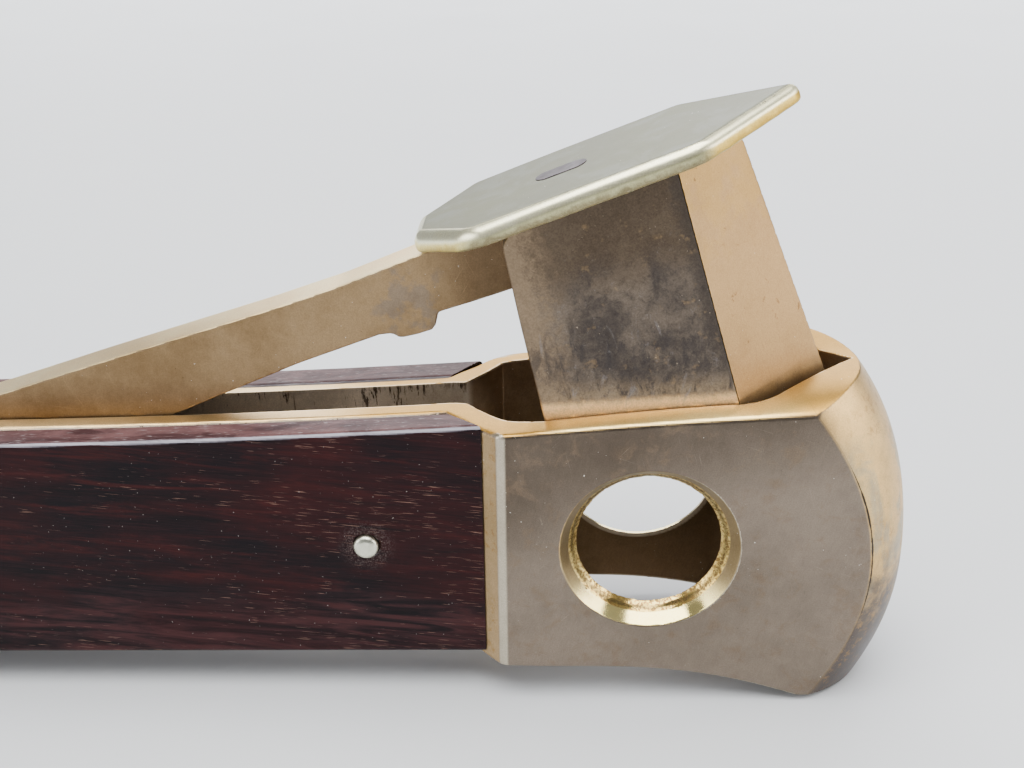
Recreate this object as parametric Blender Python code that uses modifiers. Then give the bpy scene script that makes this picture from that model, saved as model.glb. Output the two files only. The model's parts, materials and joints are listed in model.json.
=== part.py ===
"""Hand-held lever cutter with a round guide hole.

A nickel-silver frame is one casting: two long side walls with an open slot between them,
a wide hollow head with a round hole through both sides, and a pointed, rounded nose.
Two wooden scales are pinned to the side walls. A lever turns on a pin at the back of the
slot. It carries a wedge-fronted carrier with a steel blade on each side, and a thumb plate.
A leaf spring holds the lever up.

Lengths below are millimetres, measured from the centre of the guide hole:
X towards the nose, Y away from the near side, Z up.
"""
import math

import bmesh
import bpy
from mathutils import Vector

MM = 0.001

# where the guide hole's centre stands in the part's frame
HOLE_X = 38.3
HOLE_Z = 18.28

# handle
REAR_X = -104.0
REAR_ROUND = 8.0
SLOT_HALF = 2.51
LINER_HALF = 4.64
SCALE_HALF = 8.34
SCALE_REAR = -103.6
GAP = 0.3
PIN_R = 1.3
PIN_FIT = 0.05
PIN_PROUD = 0.7
FRONT_PIN = (-28.6, -0.5)
MIDDLE_PIN = (-74.0, -9.5)
REAR_PIN = (-100.2, -8.6)

# head
HEAD_HALF = 9.87
HEAD_WALL = 2.25
FLARE_BACK_X = -20.5
FLARE_FRONT_X = -14.8
CAVITY_BACK_X = -19.0
CAVITY_WIDE_X = -14.2
CAVITY_BEND_X = 9.9
CAVITY_TIP_X = 20.4
EDGE = 0.3
RIM_R = 9.0
SINK_DEPTH = 1.2
SINK_R = 8.12
NEAR_BORE_R = 7.27
NEAR_BORE_DEPTH = 2.15
FAR_BORE_R = 8.56
FAR_LAND = 0.35

# nose
NOSE_X = 27.4
NOSE_Z = -5.0
ARRIS_X = 21.9
ARRIS_Z = -2.6
NOSE_PLAN_R = 11.0

# lever
PIVOT_X = -92.0
PIVOT_Z = 0.5
OPEN_DEG = 12.7
PIVOT_R = 2.0
LEVER_HALF = 2.3
PLATE_Z = 15.5
PLATE_SLOPE = math.atan(0.145)
PLATE_THICK = 1.9
PLATE_SIDE = 1.2
PLATE_BEVEL = 1.1
PLATE_HALF = 9.3
BLADE_OUT = 7.42
BLADE_THICK = 2.05
BLADE_REAR_X = -9.7
BLADE_FOOT_Z = -12.0
BLADE_GRIND = 3.2
CARRIER_FOOT_Z = -10.5
TENON_X = -2.9
TENON_LONG = 5.2
TENON_WIDE = 2.6
TENON_DEEP = 5.0
CROSS_RIVETS = ((-7.2, 9.9), (1.9, 10.75))
CROSS_RIVET_R = 1.25

# leaf spring
SPACER_TOP = -9.1
LEAF_THICK = 0.7
LEAF_HALF = 1.9
LEAF_ROOT_X = -97.9
LEAF_BEND_X = -91.5
LEAF_TIP_X = -56.0
LEAF_RISE = 15.9
SPRING_RIVET_X = -95.2

for old in list(bpy.data.objects):
    bpy.data.objects.remove(old, do_unlink=True)

scene = bpy.context.scene
parts = bpy.data.collections.new("lever_cutter")
cutters = bpy.data.collections.new("cutters")
scene.collection.children.link(parts)
scene.collection.children.link(cutters)


# ---------------------------------------------------------------- frame shape, as functions

def handle_top(x):
    u = x - FLARE_BACK_X
    return 12.8 + 0.062 * u + 0.00042 * u * u


def handle_bottom(x):
    return -13.3 + 0.0125 * x


def rear_drop(x):
    """How far the rounded rear corner takes the edge in."""
    reach = x - REAR_X
    if reach >= REAR_ROUND:
        return 0.0
    return REAR_ROUND - math.sqrt(max(REAR_ROUND ** 2 - (REAR_ROUND - reach) ** 2, 0.0))


def smooth(x, a, b):
    t = min(max((x - a) / (b - a), 0.0), 1.0)
    return t * t * (3 - 2 * t)


def outer_half(x):
    t = min(max((x - FLARE_BACK_X) / (FLARE_FRONT_X - FLARE_BACK_X), 0.0), 1.0)
    return LINER_HALF + (HEAD_HALF - LINER_HALF) * t


def top_edge(x):
    head = 14.0 + 0.078 * x - 0.0008 * x * x
    t = smooth(x, FLARE_BACK_X, FLARE_FRONT_X)
    return handle_top(x) * (1 - t) + head * t - rear_drop(x)


def top_crown(x):
    return 0.9 * smooth(x, -24.0, 8.0) + 1.0 * smooth(x, 6.0, 19.0)


def bottom_edge(x):
    head = -14.25 - 0.0095 * max(min(x, 16.0) + 3.0, 0.0) ** 2
    t = smooth(x, FLARE_BACK_X, FLARE_FRONT_X)
    return handle_bottom(x) * (1 - t) + head * t + rear_drop(x)


def bottom_crown(x):
    return 0.6 * smooth(x, -16.0, 14.0)


def nose_reach(z):
    """X of the nose in the middle plane at height z."""
    rise = z - NOSE_Z
    if rise > 0:
        return NOSE_X - 0.0095 * rise ** 2 - 8.5e-6 * rise ** 4
    return NOSE_X - 0.0183 * rise ** 2


def arris_reach(z):
    """X of the corner where the nose meets the flat side."""
    return ARRIS_X - 0.0225 * (z - ARRIS_Z) ** 2


def nose_surface(y, z):
    full = NOSE_PLAN_R - math.sqrt(NOSE_PLAN_R ** 2 - HEAD_HALF ** 2)
    part = NOSE_PLAN_R - math.sqrt(NOSE_PLAN_R ** 2 - y * y)
    return nose_reach(z) - (nose_reach(z) - arris_reach(z)) * part / full


# ---------------------------------------------------------------- building blocks

def material(name, colour, roughness, metallic):
    found = bpy.data.materials.get(name)
    if found:
        return found
    mat = bpy.data.materials.new(name)
    mat.use_nodes = True
    shader = mat.node_tree.nodes["Principled BSDF"]
    shader.inputs["Base Color"].default_value = (*colour, 1.0)
    shader.inputs["Roughness"].default_value = roughness
    shader.inputs["Metallic"].default_value = metallic
    mat.diffuse_color = (*colour, 1.0)
    return mat


def empty(name, parent, x, z):
    """An empty at hole-centred x, z."""
    axis = bpy.data.objects.new(name, None)
    parts.objects.link(axis)
    if parent is None:
        axis.location = (x * MM, 0.0, z * MM)
    else:
        axis.parent = parent
        axis.location = (x * MM, 0.0, z * MM)
    return axis


def new_object(name, mesh, cutter=False):
    obj = bpy.data.objects.new(name, mesh)
    (cutters if cutter else parts).objects.link(obj)
    if cutter:
        obj.hide_render = True
        obj.display_type = "WIRE"
    return obj


def tidy(mesh):
    work = bmesh.new()
    work.from_mesh(mesh)
    bmesh.ops.remove_doubles(work, verts=work.verts, dist=1e-7)
    bmesh.ops.recalc_face_normals(work, faces=work.faces)
    work.to_mesh(mesh)
    work.free()


def corner(before, at, after, radius, steps):
    """Points of the arc that rounds one corner of an outline."""
    at = Vector(at)
    one = (Vector(before) - at).normalized()
    two = (Vector(after) - at).normalized()
    half = one.angle(two) / 2
    back = radius / math.tan(half)
    centre = at + (one + two).normalized() * (radius / math.sin(half))
    start = at + one * back - centre
    end = at + two * back - centre
    sweep = start.angle_signed(end)
    points = []
    for k in range(steps + 1):
        turn = -sweep * k / steps
        c, s = math.cos(turn), math.sin(turn)
        points.append((centre.x + start.x * c - start.y * s, centre.y + start.x * s + start.y * c))
    return points


def rounded(corners, steps=4):
    """An outline from (a, b, radius) corners."""
    points = []
    count = len(corners)
    for k, (a, b, radius) in enumerate(corners):
        if radius <= 0:
            points.append((a, b))
            continue
        before = corners[k - 1][:2]
        after = corners[(k + 1) % count][:2]
        points.extend(corner(before, (a, b), after, radius, steps))
    return points


def slab(name, points, half, plane="XZ", cutter=False):
    """A flat outline with a thickness: outline in XZ (thick in Y) or in XY (thick in Z)."""
    curve = bpy.data.curves.new(name, "CURVE")
    curve.dimensions = "2D"
    curve.fill_mode = "BOTH"
    curve.extrude = half * MM
    line = curve.splines.new("POLY")
    line.points.add(len(points) - 1)
    for point, (a, b) in zip(line.points, points):
        point.co = (a * MM, b * MM, 0.0, 1.0)
    line.use_cyclic_u = True
    holder = bpy.data.objects.new(name + "_outline", curve)
    scene.collection.objects.link(holder)
    if plane == "XZ":
        holder.rotation_euler = (math.pi / 2, 0.0, 0.0)
    bpy.context.view_layer.update()
    mesh = bpy.data.meshes.new_from_object(holder.evaluated_get(bpy.context.evaluated_depsgraph_get()))
    tidy(mesh)
    obj = new_object(name, mesh, cutter)
    obj.matrix_world = holder.matrix_world.copy()
    bpy.data.objects.remove(holder, do_unlink=True)
    bpy.data.curves.remove(curve)
    return obj


def loft(name, sections, cutter=False):
    """A closed body through sections with equal numbers of points."""
    work = bmesh.new()
    rings = [[work.verts.new(Vector(p) * MM) for p in ring] for ring in sections]
    for low, high in zip(rings, rings[1:]):
        for k in range(len(low)):
            n = (k + 1) % len(low)
            work.faces.new((low[k], low[n], high[n], high[k]))
    work.faces.new(rings[0])
    work.faces.new(rings[-1])
    bmesh.ops.recalc_face_normals(work, faces=work.faces)
    mesh = bpy.data.meshes.new(name)
    work.to_mesh(mesh)
    work.free()
    return new_object(name, mesh, cutter)


def turned(name, profile, steps, axis="Y", cutter=False):
    """A profile of (radius, height), top to bottom, turned about its axis."""
    mesh = bpy.data.meshes.new(name)
    points = [(r * MM, 0.0, h * MM) for r, h in profile]
    mesh.from_pydata(points, [(k, k + 1) for k in range(len(points) - 1)], [])
    obj = new_object(name, mesh, cutter)
    screw = obj.modifiers.new("turn", "SCREW")
    screw.axis = "Z"
    screw.steps = steps
    screw.render_steps = steps
    screw.use_merge_vertices = True
    screw.merge_threshold = 1e-6
    if axis == "Y":
        obj.rotation_euler = (-math.pi / 2, 0.0, 0.0)
    return obj


def put(obj, parent, x=0.0, z=0.0, y=0.0):
    """Hang an object on an empty, at a point measured from it."""
    obj.parent = parent
    obj.location = (x * MM, y * MM, z * MM)
    return obj


def cut(obj, cutter, operation="DIFFERENCE"):
    boolean = obj.modifiers.new(cutter.name, "BOOLEAN")
    boolean.operation = operation
    boolean.solver = "EXACT"
    boolean.object = cutter
    return obj


def bore(name, radius, length, x, z, parent, steps=24, axis="Y"):
    """A round cutter; its length runs along Y, or along Z."""
    tool = turned(name, [(0.0, length / 2), (radius, length / 2), (radius, -length / 2), (0.0, -length / 2)],
                  steps, axis, cutter=True)
    return put(tool, parent, x, z)


def finish(obj, mat, angle=30.0):
    """Settle the modifiers, then give the piece its material and its shading."""
    bpy.context.view_layer.update()
    made = bpy.data.meshes.new_from_object(obj.evaluated_get(bpy.context.evaluated_depsgraph_get()))
    obj.modifiers.clear()
    obj.data = made
    obj.data.name = obj.name
    obj.data.materials.clear()
    obj.data.materials.append(mat)
    obj.data.shade_smooth()
    obj.data.set_sharp_from_angle(angle=math.radians(angle))
    return obj


def soften(obj, width, segments=1, angle=50.0):
    weld = obj.modifiers.new("weld", "WELD")
    weld.merge_threshold = 1e-6
    bevel = obj.modifiers.new("edges", "BEVEL")
    bevel.width = width * MM
    bevel.segments = segments
    bevel.limit_method = "ANGLE"
    bevel.angle_limit = math.radians(angle)
    return obj


silver = material("nickel_silver", (0.50, 0.43, 0.34), 0.38, 1.0)
plate_silver = material("thumb_nickel_silver", (0.56, 0.56, 0.47), 0.42, 1.0)
steel = material("blade_steel", (0.20, 0.18, 0.15), 0.45, 1.0)
spring_steel = material("spring_steel", (0.18, 0.18, 0.20), 0.40, 1.0)
rosewood = material("rosewood", (0.045, 0.018, 0.016), 0.35, 0.0)
pin_metal = material("pin_nickel_silver", (0.62, 0.60, 0.53), 0.35, 1.0)
rivet_steel = material("rivet_steel", (0.30, 0.26, 0.26), 0.45, 1.0)

# ---------------------------------------------------------------- axes

hole = empty("hole_centre", None, HOLE_X, HOLE_Z)
pivot = empty("lever_axis", hole, PIVOT_X, PIVOT_Z)
pivot.rotation_euler = (0.0, -math.radians(OPEN_DEG), 0.0)
bpy.context.view_layer.update()

# ---------------------------------------------------------------- frame casting


def frame_section(x):
    """Cross-section of the casting before it is hollowed: crowned above and below, small flat corners."""
    half = outer_half(x)
    low, high = bottom_edge(x), top_edge(x)
    ring = [(x, -half, low + EDGE), (x, -half, high - EDGE)]
    span = half - EDGE
    for k in range(9):
        y = -span + 2 * span * k / 8
        ring.append((x, y, high + top_crown(x) * (1 - (y / half) ** 4)))
    ring += [(x, half, high - EDGE), (x, half, low + EDGE)]
    for k in range(9):
        y = span - 2 * span * k / 8
        ring.append((x, y, low - bottom_crown(x) * (1 - (y / half) ** 2)))
    return ring


stations = [REAR_X + REAR_ROUND * (1 - math.cos(math.radians(a))) + 0.01 for a in range(0, 91, 18)]
stations += [REAR_X + REAR_ROUND + (FLARE_BACK_X - REAR_X - REAR_ROUND) * k / 7 for k in range(1, 8)]
stations += [-18.6, -16.7, FLARE_FRONT_X]
stations += [FLARE_FRONT_X + (30.5 - FLARE_FRONT_X) * k / 16 for k in range(1, 17)]
frame_body = put(loft("frame_body", [frame_section(x) for x in stations]), hole)

nose_rings = []
for level in range(15):
    z = -22.0 + 42.0 * level / 14
    ring = []
    for k in range(17):
        y = -10.8 + 21.6 * k / 16
        ring.append((nose_surface(y, z), y, z))
    nose_rings.append([(-112.0, -10.8, z)] + ring + [(-112.0, 10.8, z)])
nose = put(loft("nose_form", nose_rings, cutter=True), hole)
cut(frame_body, nose, "INTERSECT")

inner = HEAD_HALF - HEAD_WALL
half_plan = [
    (-112.0, SLOT_HALF, 0.0), (CAVITY_BACK_X, SLOT_HALF, 2.0), (CAVITY_WIDE_X, inner, 1.0),
    (CAVITY_BEND_X, inner, 3.5), (CAVITY_TIP_X, 0.0, 0.0)]
plan = half_plan + [(x, -y, r) for x, y, r in reversed(half_plan[:-1])]
cavity = put(slab("cavity", rounded(plan), 40.0, "XY", cutter=True), hole)
cut(frame_body, cavity)

out = 2.0
cone = (RIM_R - SINK_R) / SINK_DEPTH
inner_face = HEAD_HALF - HEAD_WALL
near_profile = [
    (0.0, 2.0 - inner_face), (NEAR_BORE_R, 2.0 - inner_face), (NEAR_BORE_R, NEAR_BORE_DEPTH - HEAD_HALF),
    (SINK_R, SINK_DEPTH - HEAD_HALF), (RIM_R + cone * out, -(HEAD_HALF + out)), (0.0, -(HEAD_HALF + out))]
near_hole = put(turned("near_hole", near_profile, 48, cutter=True), hole)
cut(frame_body, near_hole)
funnel = HEAD_WALL - FAR_LAND + out
far_profile = [
    (0.0, HEAD_HALF + out), (FAR_BORE_R + funnel, HEAD_HALF + out), (FAR_BORE_R, inner_face + FAR_LAND),
    (FAR_BORE_R, inner_face - 2.0), (0.0, inner_face - 2.0)]
far_hole = put(turned("far_hole", far_profile, 48, cutter=True), hole)
cut(frame_body, far_hole)

pin_places = {"front_pin": FRONT_PIN, "middle_pin": MIDDLE_PIN, "rear_pin": REAR_PIN}
pin_bores = {n: bore(n + "_bore", PIN_R + PIN_FIT, 40.0, x, z, hole) for n, (x, z) in pin_places.items()}
pin_bores["pivot_pin"] = bore("pivot_pin_bore", PIVOT_R + PIN_FIT, 40.0, PIVOT_X, PIVOT_Z, hole, 28)
for tool in pin_bores.values():
    cut(frame_body, tool)
finish(frame_body, silver, 20.0)

# ---------------------------------------------------------------- wooden scales

flare_lead = (FLARE_FRONT_X - FLARE_BACK_X) / (HEAD_HALF - LINER_HALF)


def scale_outline():
    front = FLARE_FRONT_X
    xs = [SCALE_REAR + REAR_ROUND * (1 - math.cos(math.radians(a))) for a in range(0, 91, 15)]
    xs += [SCALE_REAR + REAR_ROUND + (front - SCALE_REAR - REAR_ROUND) * k / 8 for k in range(1, 9)]
    shift = REAR_X - SCALE_REAR
    upper = [(x, handle_top(x) - rear_drop(x + shift)) for x in xs]
    lower = [(x, handle_bottom(x) + rear_drop(x + shift)) for x in reversed(xs)]
    return upper + lower


def scale(name, side):
    middle = (LINER_HALF + GAP + SCALE_HALF) / 2
    wood = slab(name, scale_outline(), (SCALE_HALF - LINER_HALF - GAP) / 2)
    put(wood, hole, y=side * middle)
    run = math.hypot(flare_lead, 1.0)
    back = FLARE_BACK_X - GAP * run
    reach = 12.0
    points = [
        (back - flare_lead * 6.0, side * (LINER_HALF - 6.0)),
        (back + flare_lead * reach, side * (LINER_HALF + reach)),
        (40.0, side * (LINER_HALF + reach)),
        (40.0, side * (LINER_HALF - 6.0))]
    ramp = put(slab(name + "_ramp", points, 40.0, "XY", cutter=True), hole)
    soften(wood, 0.35)
    cut(wood, ramp)
    for tool in pin_bores.values():
        cut(wood, tool)
    return finish(wood, rosewood)


near_scale = scale("near_scale", -1)
far_scale = scale("far_scale", 1)

# ---------------------------------------------------------------- pins


def through_pin(name, radius, x, z, parent, steps):
    end = SCALE_HALF + PIN_PROUD
    profile = [
        (0.0, end), (radius * 0.62, end), (radius * 0.86, end - 0.12), (radius, end - 0.42),
        (radius, -end + 0.42), (radius * 0.86, -end + 0.12), (radius * 0.62, -end), (0.0, -end)]
    return finish(put(turned(name, profile, steps), parent, x, z), pin_metal, 40.0)


for name, (x, z) in pin_places.items():
    through_pin(name, PIN_R, x, z, hole, 24)
through_pin("pivot_pin", PIVOT_R, PIVOT_X, PIVOT_Z, hole, 28)

# ---------------------------------------------------------------- spacer and leaf spring at the back

spacer_outline = [
    (-102.0, -11.0), (-102.0, -4.8), (-98.3, -4.8), (-98.3, SPACER_TOP), (LEAF_BEND_X, SPACER_TOP),
    (LEAF_BEND_X, -13.4), (-100.0, -13.4)]
rear_spacer = put(slab("rear_spacer", spacer_outline, SLOT_HALF - GAP), hole)
spring_bore = bore("spring_rivet_bore", 1.05, 30.0, SPRING_RIVET_X, SPACER_TOP, hole, 20, "Z")
cut(rear_spacer, pin_bores["rear_pin"])
cut(rear_spacer, spring_bore)
finish(rear_spacer, silver)


def leaf_line(x):
    if x <= LEAF_BEND_X:
        return SPACER_TOP + GAP + LEAF_THICK / 2
    along = (x - LEAF_BEND_X) / (LEAF_TIP_X - LEAF_BEND_X)
    return SPACER_TOP + GAP + LEAF_THICK / 2 + LEAF_RISE * along ** 1.7


leaf_xs = [LEAF_ROOT_X] + [LEAF_BEND_X + (LEAF_TIP_X - LEAF_BEND_X) * k / 14 for k in range(15)]
upper_side, lower_side = [], []
for x in leaf_xs:
    slope = (leaf_line(x + 0.05) - leaf_line(x - 0.05)) / 0.1
    lean = math.atan(slope)
    dx, dz = -math.sin(lean) * LEAF_THICK / 2, math.cos(lean) * LEAF_THICK / 2
    upper_side.append((x + dx, leaf_line(x) + dz))
    lower_side.append((x - dx, leaf_line(x) - dz))
leaf_spring = put(slab("leaf_spring", upper_side + lower_side[::-1], LEAF_HALF), hole)
cut(leaf_spring, spring_bore)
finish(leaf_spring, spring_steel)

head_low = SPACER_TOP + GAP + LEAF_THICK + GAP
rivet_profile = [(0.0, head_low + 0.9), (1.3, head_low + 0.8), (1.8, head_low + 0.4), (1.8, head_low), (1.0, head_low),
                 (1.0, -13.2), (0.0, -13.2)]
spring_rivet = put(turned("spring_rivet", rivet_profile, 20, "Z"), hole, SPRING_RIVET_X)
finish(spring_rivet, rivet_steel)

# ---------------------------------------------------------------- lever, modelled closed and turned open by its axis


def on_lever(x, z):
    """Hole-centred coordinates to coordinates from the pivot."""
    return x - PIVOT_X, z - PIVOT_Z


def plate_under(x):
    return PLATE_Z + math.tan(PLATE_SLOPE) * x


lever_corners = [
    (-96.0, 4.0, 0.6), (-94.4, 4.6, 0.0), (-92.0, 5.2, 0.0), (-88.0, 5.35, 4.0), (-78.4, 6.3, 0.0), (-63.9, 7.6, 0.0),
    (-52.5, 8.7, 0.0), (-35.0, 10.2, 0.0), (-26.5, 11.1, 0.0), (-19.0, 12.35, 0.0), (5.0, plate_under(5.0) - GAP, 0.0),
    (5.0, 8.0, 1.5), (-10.2, 7.2, 0.0), (-15.6, 6.5, 1.0), (-18.1, 6.0, 0.4), (-18.8, 5.0, 0.3), (-20.3, 4.5, 0.6),
    (-22.3, 4.5, 0.2), (-23.0, 5.2, 0.2), (-24.2, 5.3, 0.0), (-33.0, 4.1, 0.0), (-41.3, 2.6, 0.0), (-47.5, 1.4, 0.0),
    (-60.0, -0.9, 0.0), (-70.0, -2.6, 0.0), (-80.0, -3.7, 0.0), (-88.0, -4.15, 3.0), (-92.0, -4.2, 0.0),
    (-95.0, -4.1, 0.0), (-100.2, -2.8, 0.5), (-100.2, 1.0, 2.0)]
lever_outline = [on_lever(x, z) for x, z in rounded(lever_corners, 3)]
lever_bar = put(slab("lever_bar", lever_outline, LEVER_HALF), pivot)
cut(lever_bar, bore("lever_eye", PIVOT_R + 0.06, 20.0, 0.0, 0.0, pivot, 28))
cross_bores = []
for k, (x, z) in enumerate(CROSS_RIVETS):
    px, pz = on_lever(x, z)
    cross_bores.append(bore(f"cross_rivet_bore_{k + 1}", CROSS_RIVET_R + PIN_FIT, 30.0, px, pz, pivot, 20))
    cut(lever_bar, cross_bores[-1])


def tenon(name, low, high, spare=0.0, cutter=False):
    """The flat round-ended tenon under the thumb plate, square to it, or the slot for it."""
    a = TENON_LONG / 2 + spare
    b = TENON_WIDE / 2 + spare
    outline = rounded([(-a, -b, b * 0.999), (a, -b, b * 0.999), (a, b, b * 0.999), (-a, b, b * 0.999)], 5)
    shape = put(slab(name, outline, (high - low) / 2, "XY", cutter), pivot)
    middle = (high + low) / 2
    x, z = on_lever(TENON_X - math.sin(PLATE_SLOPE) * middle, plate_under(TENON_X) + math.cos(PLATE_SLOPE) * middle)
    shape.location = (x * MM, 0.0, z * MM)
    shape.rotation_euler = (0.0, -PLATE_SLOPE, 0.0)
    return shape


tenon_slot = tenon("tenon_slot", -TENON_DEEP - 0.2, 9.0, 0.05, cutter=True)
cut(lever_bar, tenon_slot)
finish(lever_bar, silver)

# carrier: block between the blades, wedge in front of them


def seam_x(z):
    """The straight joint between blade and carrier; its foot follows the swing about the pivot."""
    if z > -7.0:
        return 7.3 + 0.075 * (15.5 - z)
    reach = math.hypot(8.99 - PIVOT_X, -7.0 - PIVOT_Z)
    return PIVOT_X + math.sqrt(reach ** 2 - (z - PIVOT_Z) ** 2)


def front_x(z):
    return 16.9 - 0.173 * z


def carrier_ring(t):
    block = BLADE_OUT - BLADE_THICK - GAP
    shape = [
        (lambda z: BLADE_REAR_X + 0.6, -block), (seam_x, -block), (seam_x, -BLADE_OUT),
        (lambda z: front_x(z) - 0.45, -0.42), (front_x, 0.0), (lambda z: front_x(z) - 0.45, 0.42),
        (seam_x, BLADE_OUT), (seam_x, block), (lambda z: BLADE_REAR_X + 0.6, block)]
    ring = []
    for place, y in shape:
        x = place(0.0)
        for _ in range(6):
            z = CARRIER_FOOT_Z + (plate_under(x) - GAP - CARRIER_FOOT_Z) * t
            x = place(z)
        px, pz = on_lever(x, z)
        ring.append((px, y, pz))
    return ring


blade_carrier = put(loft("blade_carrier", [carrier_ring(t / 5) for t in range(6)]), pivot)
tongue = [on_lever(x, z) for x, z in ((-14.0, 6.7), (5.0 + GAP, 7.2), (5.0 + GAP, 24.0), (-14.0, 24.0))]
for tool in cross_bores:
    cut(blade_carrier, tool)
cut(blade_carrier, put(slab("tongue_slot", tongue, LEVER_HALF + GAP, cutter=True), pivot))
finish(blade_carrier, silver)


def blade(name, side):
    foot = [(BLADE_REAR_X, BLADE_FOOT_Z), (seam_x(BLADE_FOOT_Z) - GAP, BLADE_FOOT_Z)]
    seam = [(seam_x(z) - GAP, z) for z in (-9.5, -7.0)]
    head_x = seam_x(15.8) - GAP
    crown = [(head_x, plate_under(head_x) - GAP), (-9.0, plate_under(-9.0) - GAP), (-9.6, 10.3), (BLADE_REAR_X, 5.0)]
    steel_plate = slab(name, [on_lever(x, z) for x, z in foot + seam + crown], BLADE_THICK / 2)
    put(steel_plate, pivot, y=side * (BLADE_OUT - BLADE_THICK / 2))
    foot_z = BLADE_FOOT_Z - PIVOT_Z
    rear = BLADE_REAR_X - PIVOT_X - 3.0
    inner_face = side * (BLADE_OUT - BLADE_THICK)
    keen_edge = side * (BLADE_OUT - 0.25)
    wedge = [(inner_face - side, foot_z - 1.0), (keen_edge, foot_z - 1.0), (keen_edge, foot_z),
             (inner_face, foot_z + BLADE_GRIND), (inner_face - side, foot_z + BLADE_GRIND)]
    rings = [[(x, y, z) for y, z in wedge] for x in (rear, rear + 40.0)]
    cut(steel_plate, put(loft(name + "_grind", rings, cutter=True), pivot))
    return finish(steel_plate, steel)


near_blade = blade("near_blade", -1)
far_blade = blade("far_blade", 1)

for k, (x, z) in enumerate(CROSS_RIVETS):
    px, pz = on_lever(x, z)
    end = BLADE_OUT - BLADE_THICK - GAP - 0.05
    profile = [(0.0, end), (CROSS_RIVET_R - 0.2, end), (CROSS_RIVET_R, end - 0.2), (CROSS_RIVET_R, -end + 0.2),
               (CROSS_RIVET_R - 0.2, -end), (0.0, -end)]
    finish(put(turned(f"carrier_rivet_{k + 1}", profile, 20), pivot, px, pz), rivet_steel, 40.0)

# thumb plate: long hexagon with a blunt rear and a pointed front
half_plate = [(-18.5, 2.8, 1.0), (-12.7, PLATE_HALF, 1.6), (9.8, PLATE_HALF, 1.2), (19.8, 0.7, 0.7)]
plate_corners = half_plate + [(u, -v, r) for u, v, r in reversed(half_plate)]


def inset(corners, width):
    """A rounded outline whose sides are moved in by a width."""
    moved = []
    count = len(corners)
    for k, (u, v, radius) in enumerate(corners):
        at = Vector((u, v))
        one = (at - Vector(corners[k - 1][:2])).normalized()
        two = (Vector(corners[(k + 1) % count][:2]) - at).normalized()
        along = (one + two).normalized()
        at += Vector((along.y, -along.x)) * width / math.cos(one.angle(two) / 2)
        moved.append((at.x, at.y, max(radius - width, 0.1)))
    return rounded(moved, 3)


plate_rings = []
for height, width in ((0.0, 0.15), (0.15, 0.0), (PLATE_SIDE, 0.0), (PLATE_SIDE + 0.45, PLATE_BEVEL * 0.4),
                      (PLATE_THICK, PLATE_BEVEL)):
    plate_rings.append([(u, v, height) for u, v in inset(plate_corners, width)])
thumb_plate = loft("thumb_plate", plate_rings)
put(thumb_plate, pivot, *on_lever(0.0, PLATE_Z))
thumb_plate.rotation_euler = (0.0, -PLATE_SLOPE, 0.0)
cut(thumb_plate, tenon_slot)
finish(thumb_plate, plate_silver)

finish(tenon("thumb_tenon", -TENON_DEEP, PLATE_THICK + 0.03), rivet_steel, 40.0)

bpy.context.view_layer.update()
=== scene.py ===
"""The lever cutter's looks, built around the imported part.

Each visible piece is described by a field: a function of X, Y and Z in millimetres that gives roughly
the distance to its surface, negative inside. skin() turns a field into a mesh that lies on that surface.
The frame's pieces are measured from the guide hole's centre. The lever's pieces are measured the same
way with the lever closed, and are then turned open about its pivot.
"""
import json
import math

import bpy
import numpy as np
from mathutils import Matrix, Vector


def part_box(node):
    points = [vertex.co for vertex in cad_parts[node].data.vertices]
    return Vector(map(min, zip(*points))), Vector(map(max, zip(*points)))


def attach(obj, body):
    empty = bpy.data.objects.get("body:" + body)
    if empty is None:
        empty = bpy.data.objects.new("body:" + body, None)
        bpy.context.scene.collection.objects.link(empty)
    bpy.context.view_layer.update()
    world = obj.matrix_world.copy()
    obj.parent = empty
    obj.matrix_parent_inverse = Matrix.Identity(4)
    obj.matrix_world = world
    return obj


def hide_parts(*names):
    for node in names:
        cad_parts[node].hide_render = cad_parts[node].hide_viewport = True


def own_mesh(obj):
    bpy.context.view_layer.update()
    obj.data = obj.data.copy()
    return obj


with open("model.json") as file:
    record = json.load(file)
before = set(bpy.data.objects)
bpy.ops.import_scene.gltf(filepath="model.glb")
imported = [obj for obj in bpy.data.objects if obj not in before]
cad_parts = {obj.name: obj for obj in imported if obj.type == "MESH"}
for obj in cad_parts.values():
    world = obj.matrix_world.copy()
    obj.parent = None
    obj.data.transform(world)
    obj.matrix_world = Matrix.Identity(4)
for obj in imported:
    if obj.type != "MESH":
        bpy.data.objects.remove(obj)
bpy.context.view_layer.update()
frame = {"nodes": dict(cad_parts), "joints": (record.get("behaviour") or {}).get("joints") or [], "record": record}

MM = 0.001
openings = frame["record"]["physics"]["openings"]
hole_box = [o for o in openings if o["name"] == "guide_hole"][0]["box_m"]
HOLE = Vector([(low + high) / 2 for low, high in zip(*hole_box)])
joint = frame["joints"][0]
PIVOT = Vector(joint["pos_m"])
OPEN = math.radians(joint["range_deg"][1])
PIVOT_X = (PIVOT.x - HOLE.x) / MM
PIVOT_Z = (PIVOT.z - HOLE.z) / MM
IN_FRAME = Matrix.Translation(HOLE)
IN_LEVER = Matrix.Translation(PIVOT) @ Matrix.Rotation(-OPEN, 4, "Y") @ Matrix.Translation(HOLE - PIVOT)

# ---- sizes, in millimetres
# _X and _Z are places, _HALF a half width, _R a radius, _LEAN and _SLOPE a slope, _BOW a parabola's factor

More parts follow.
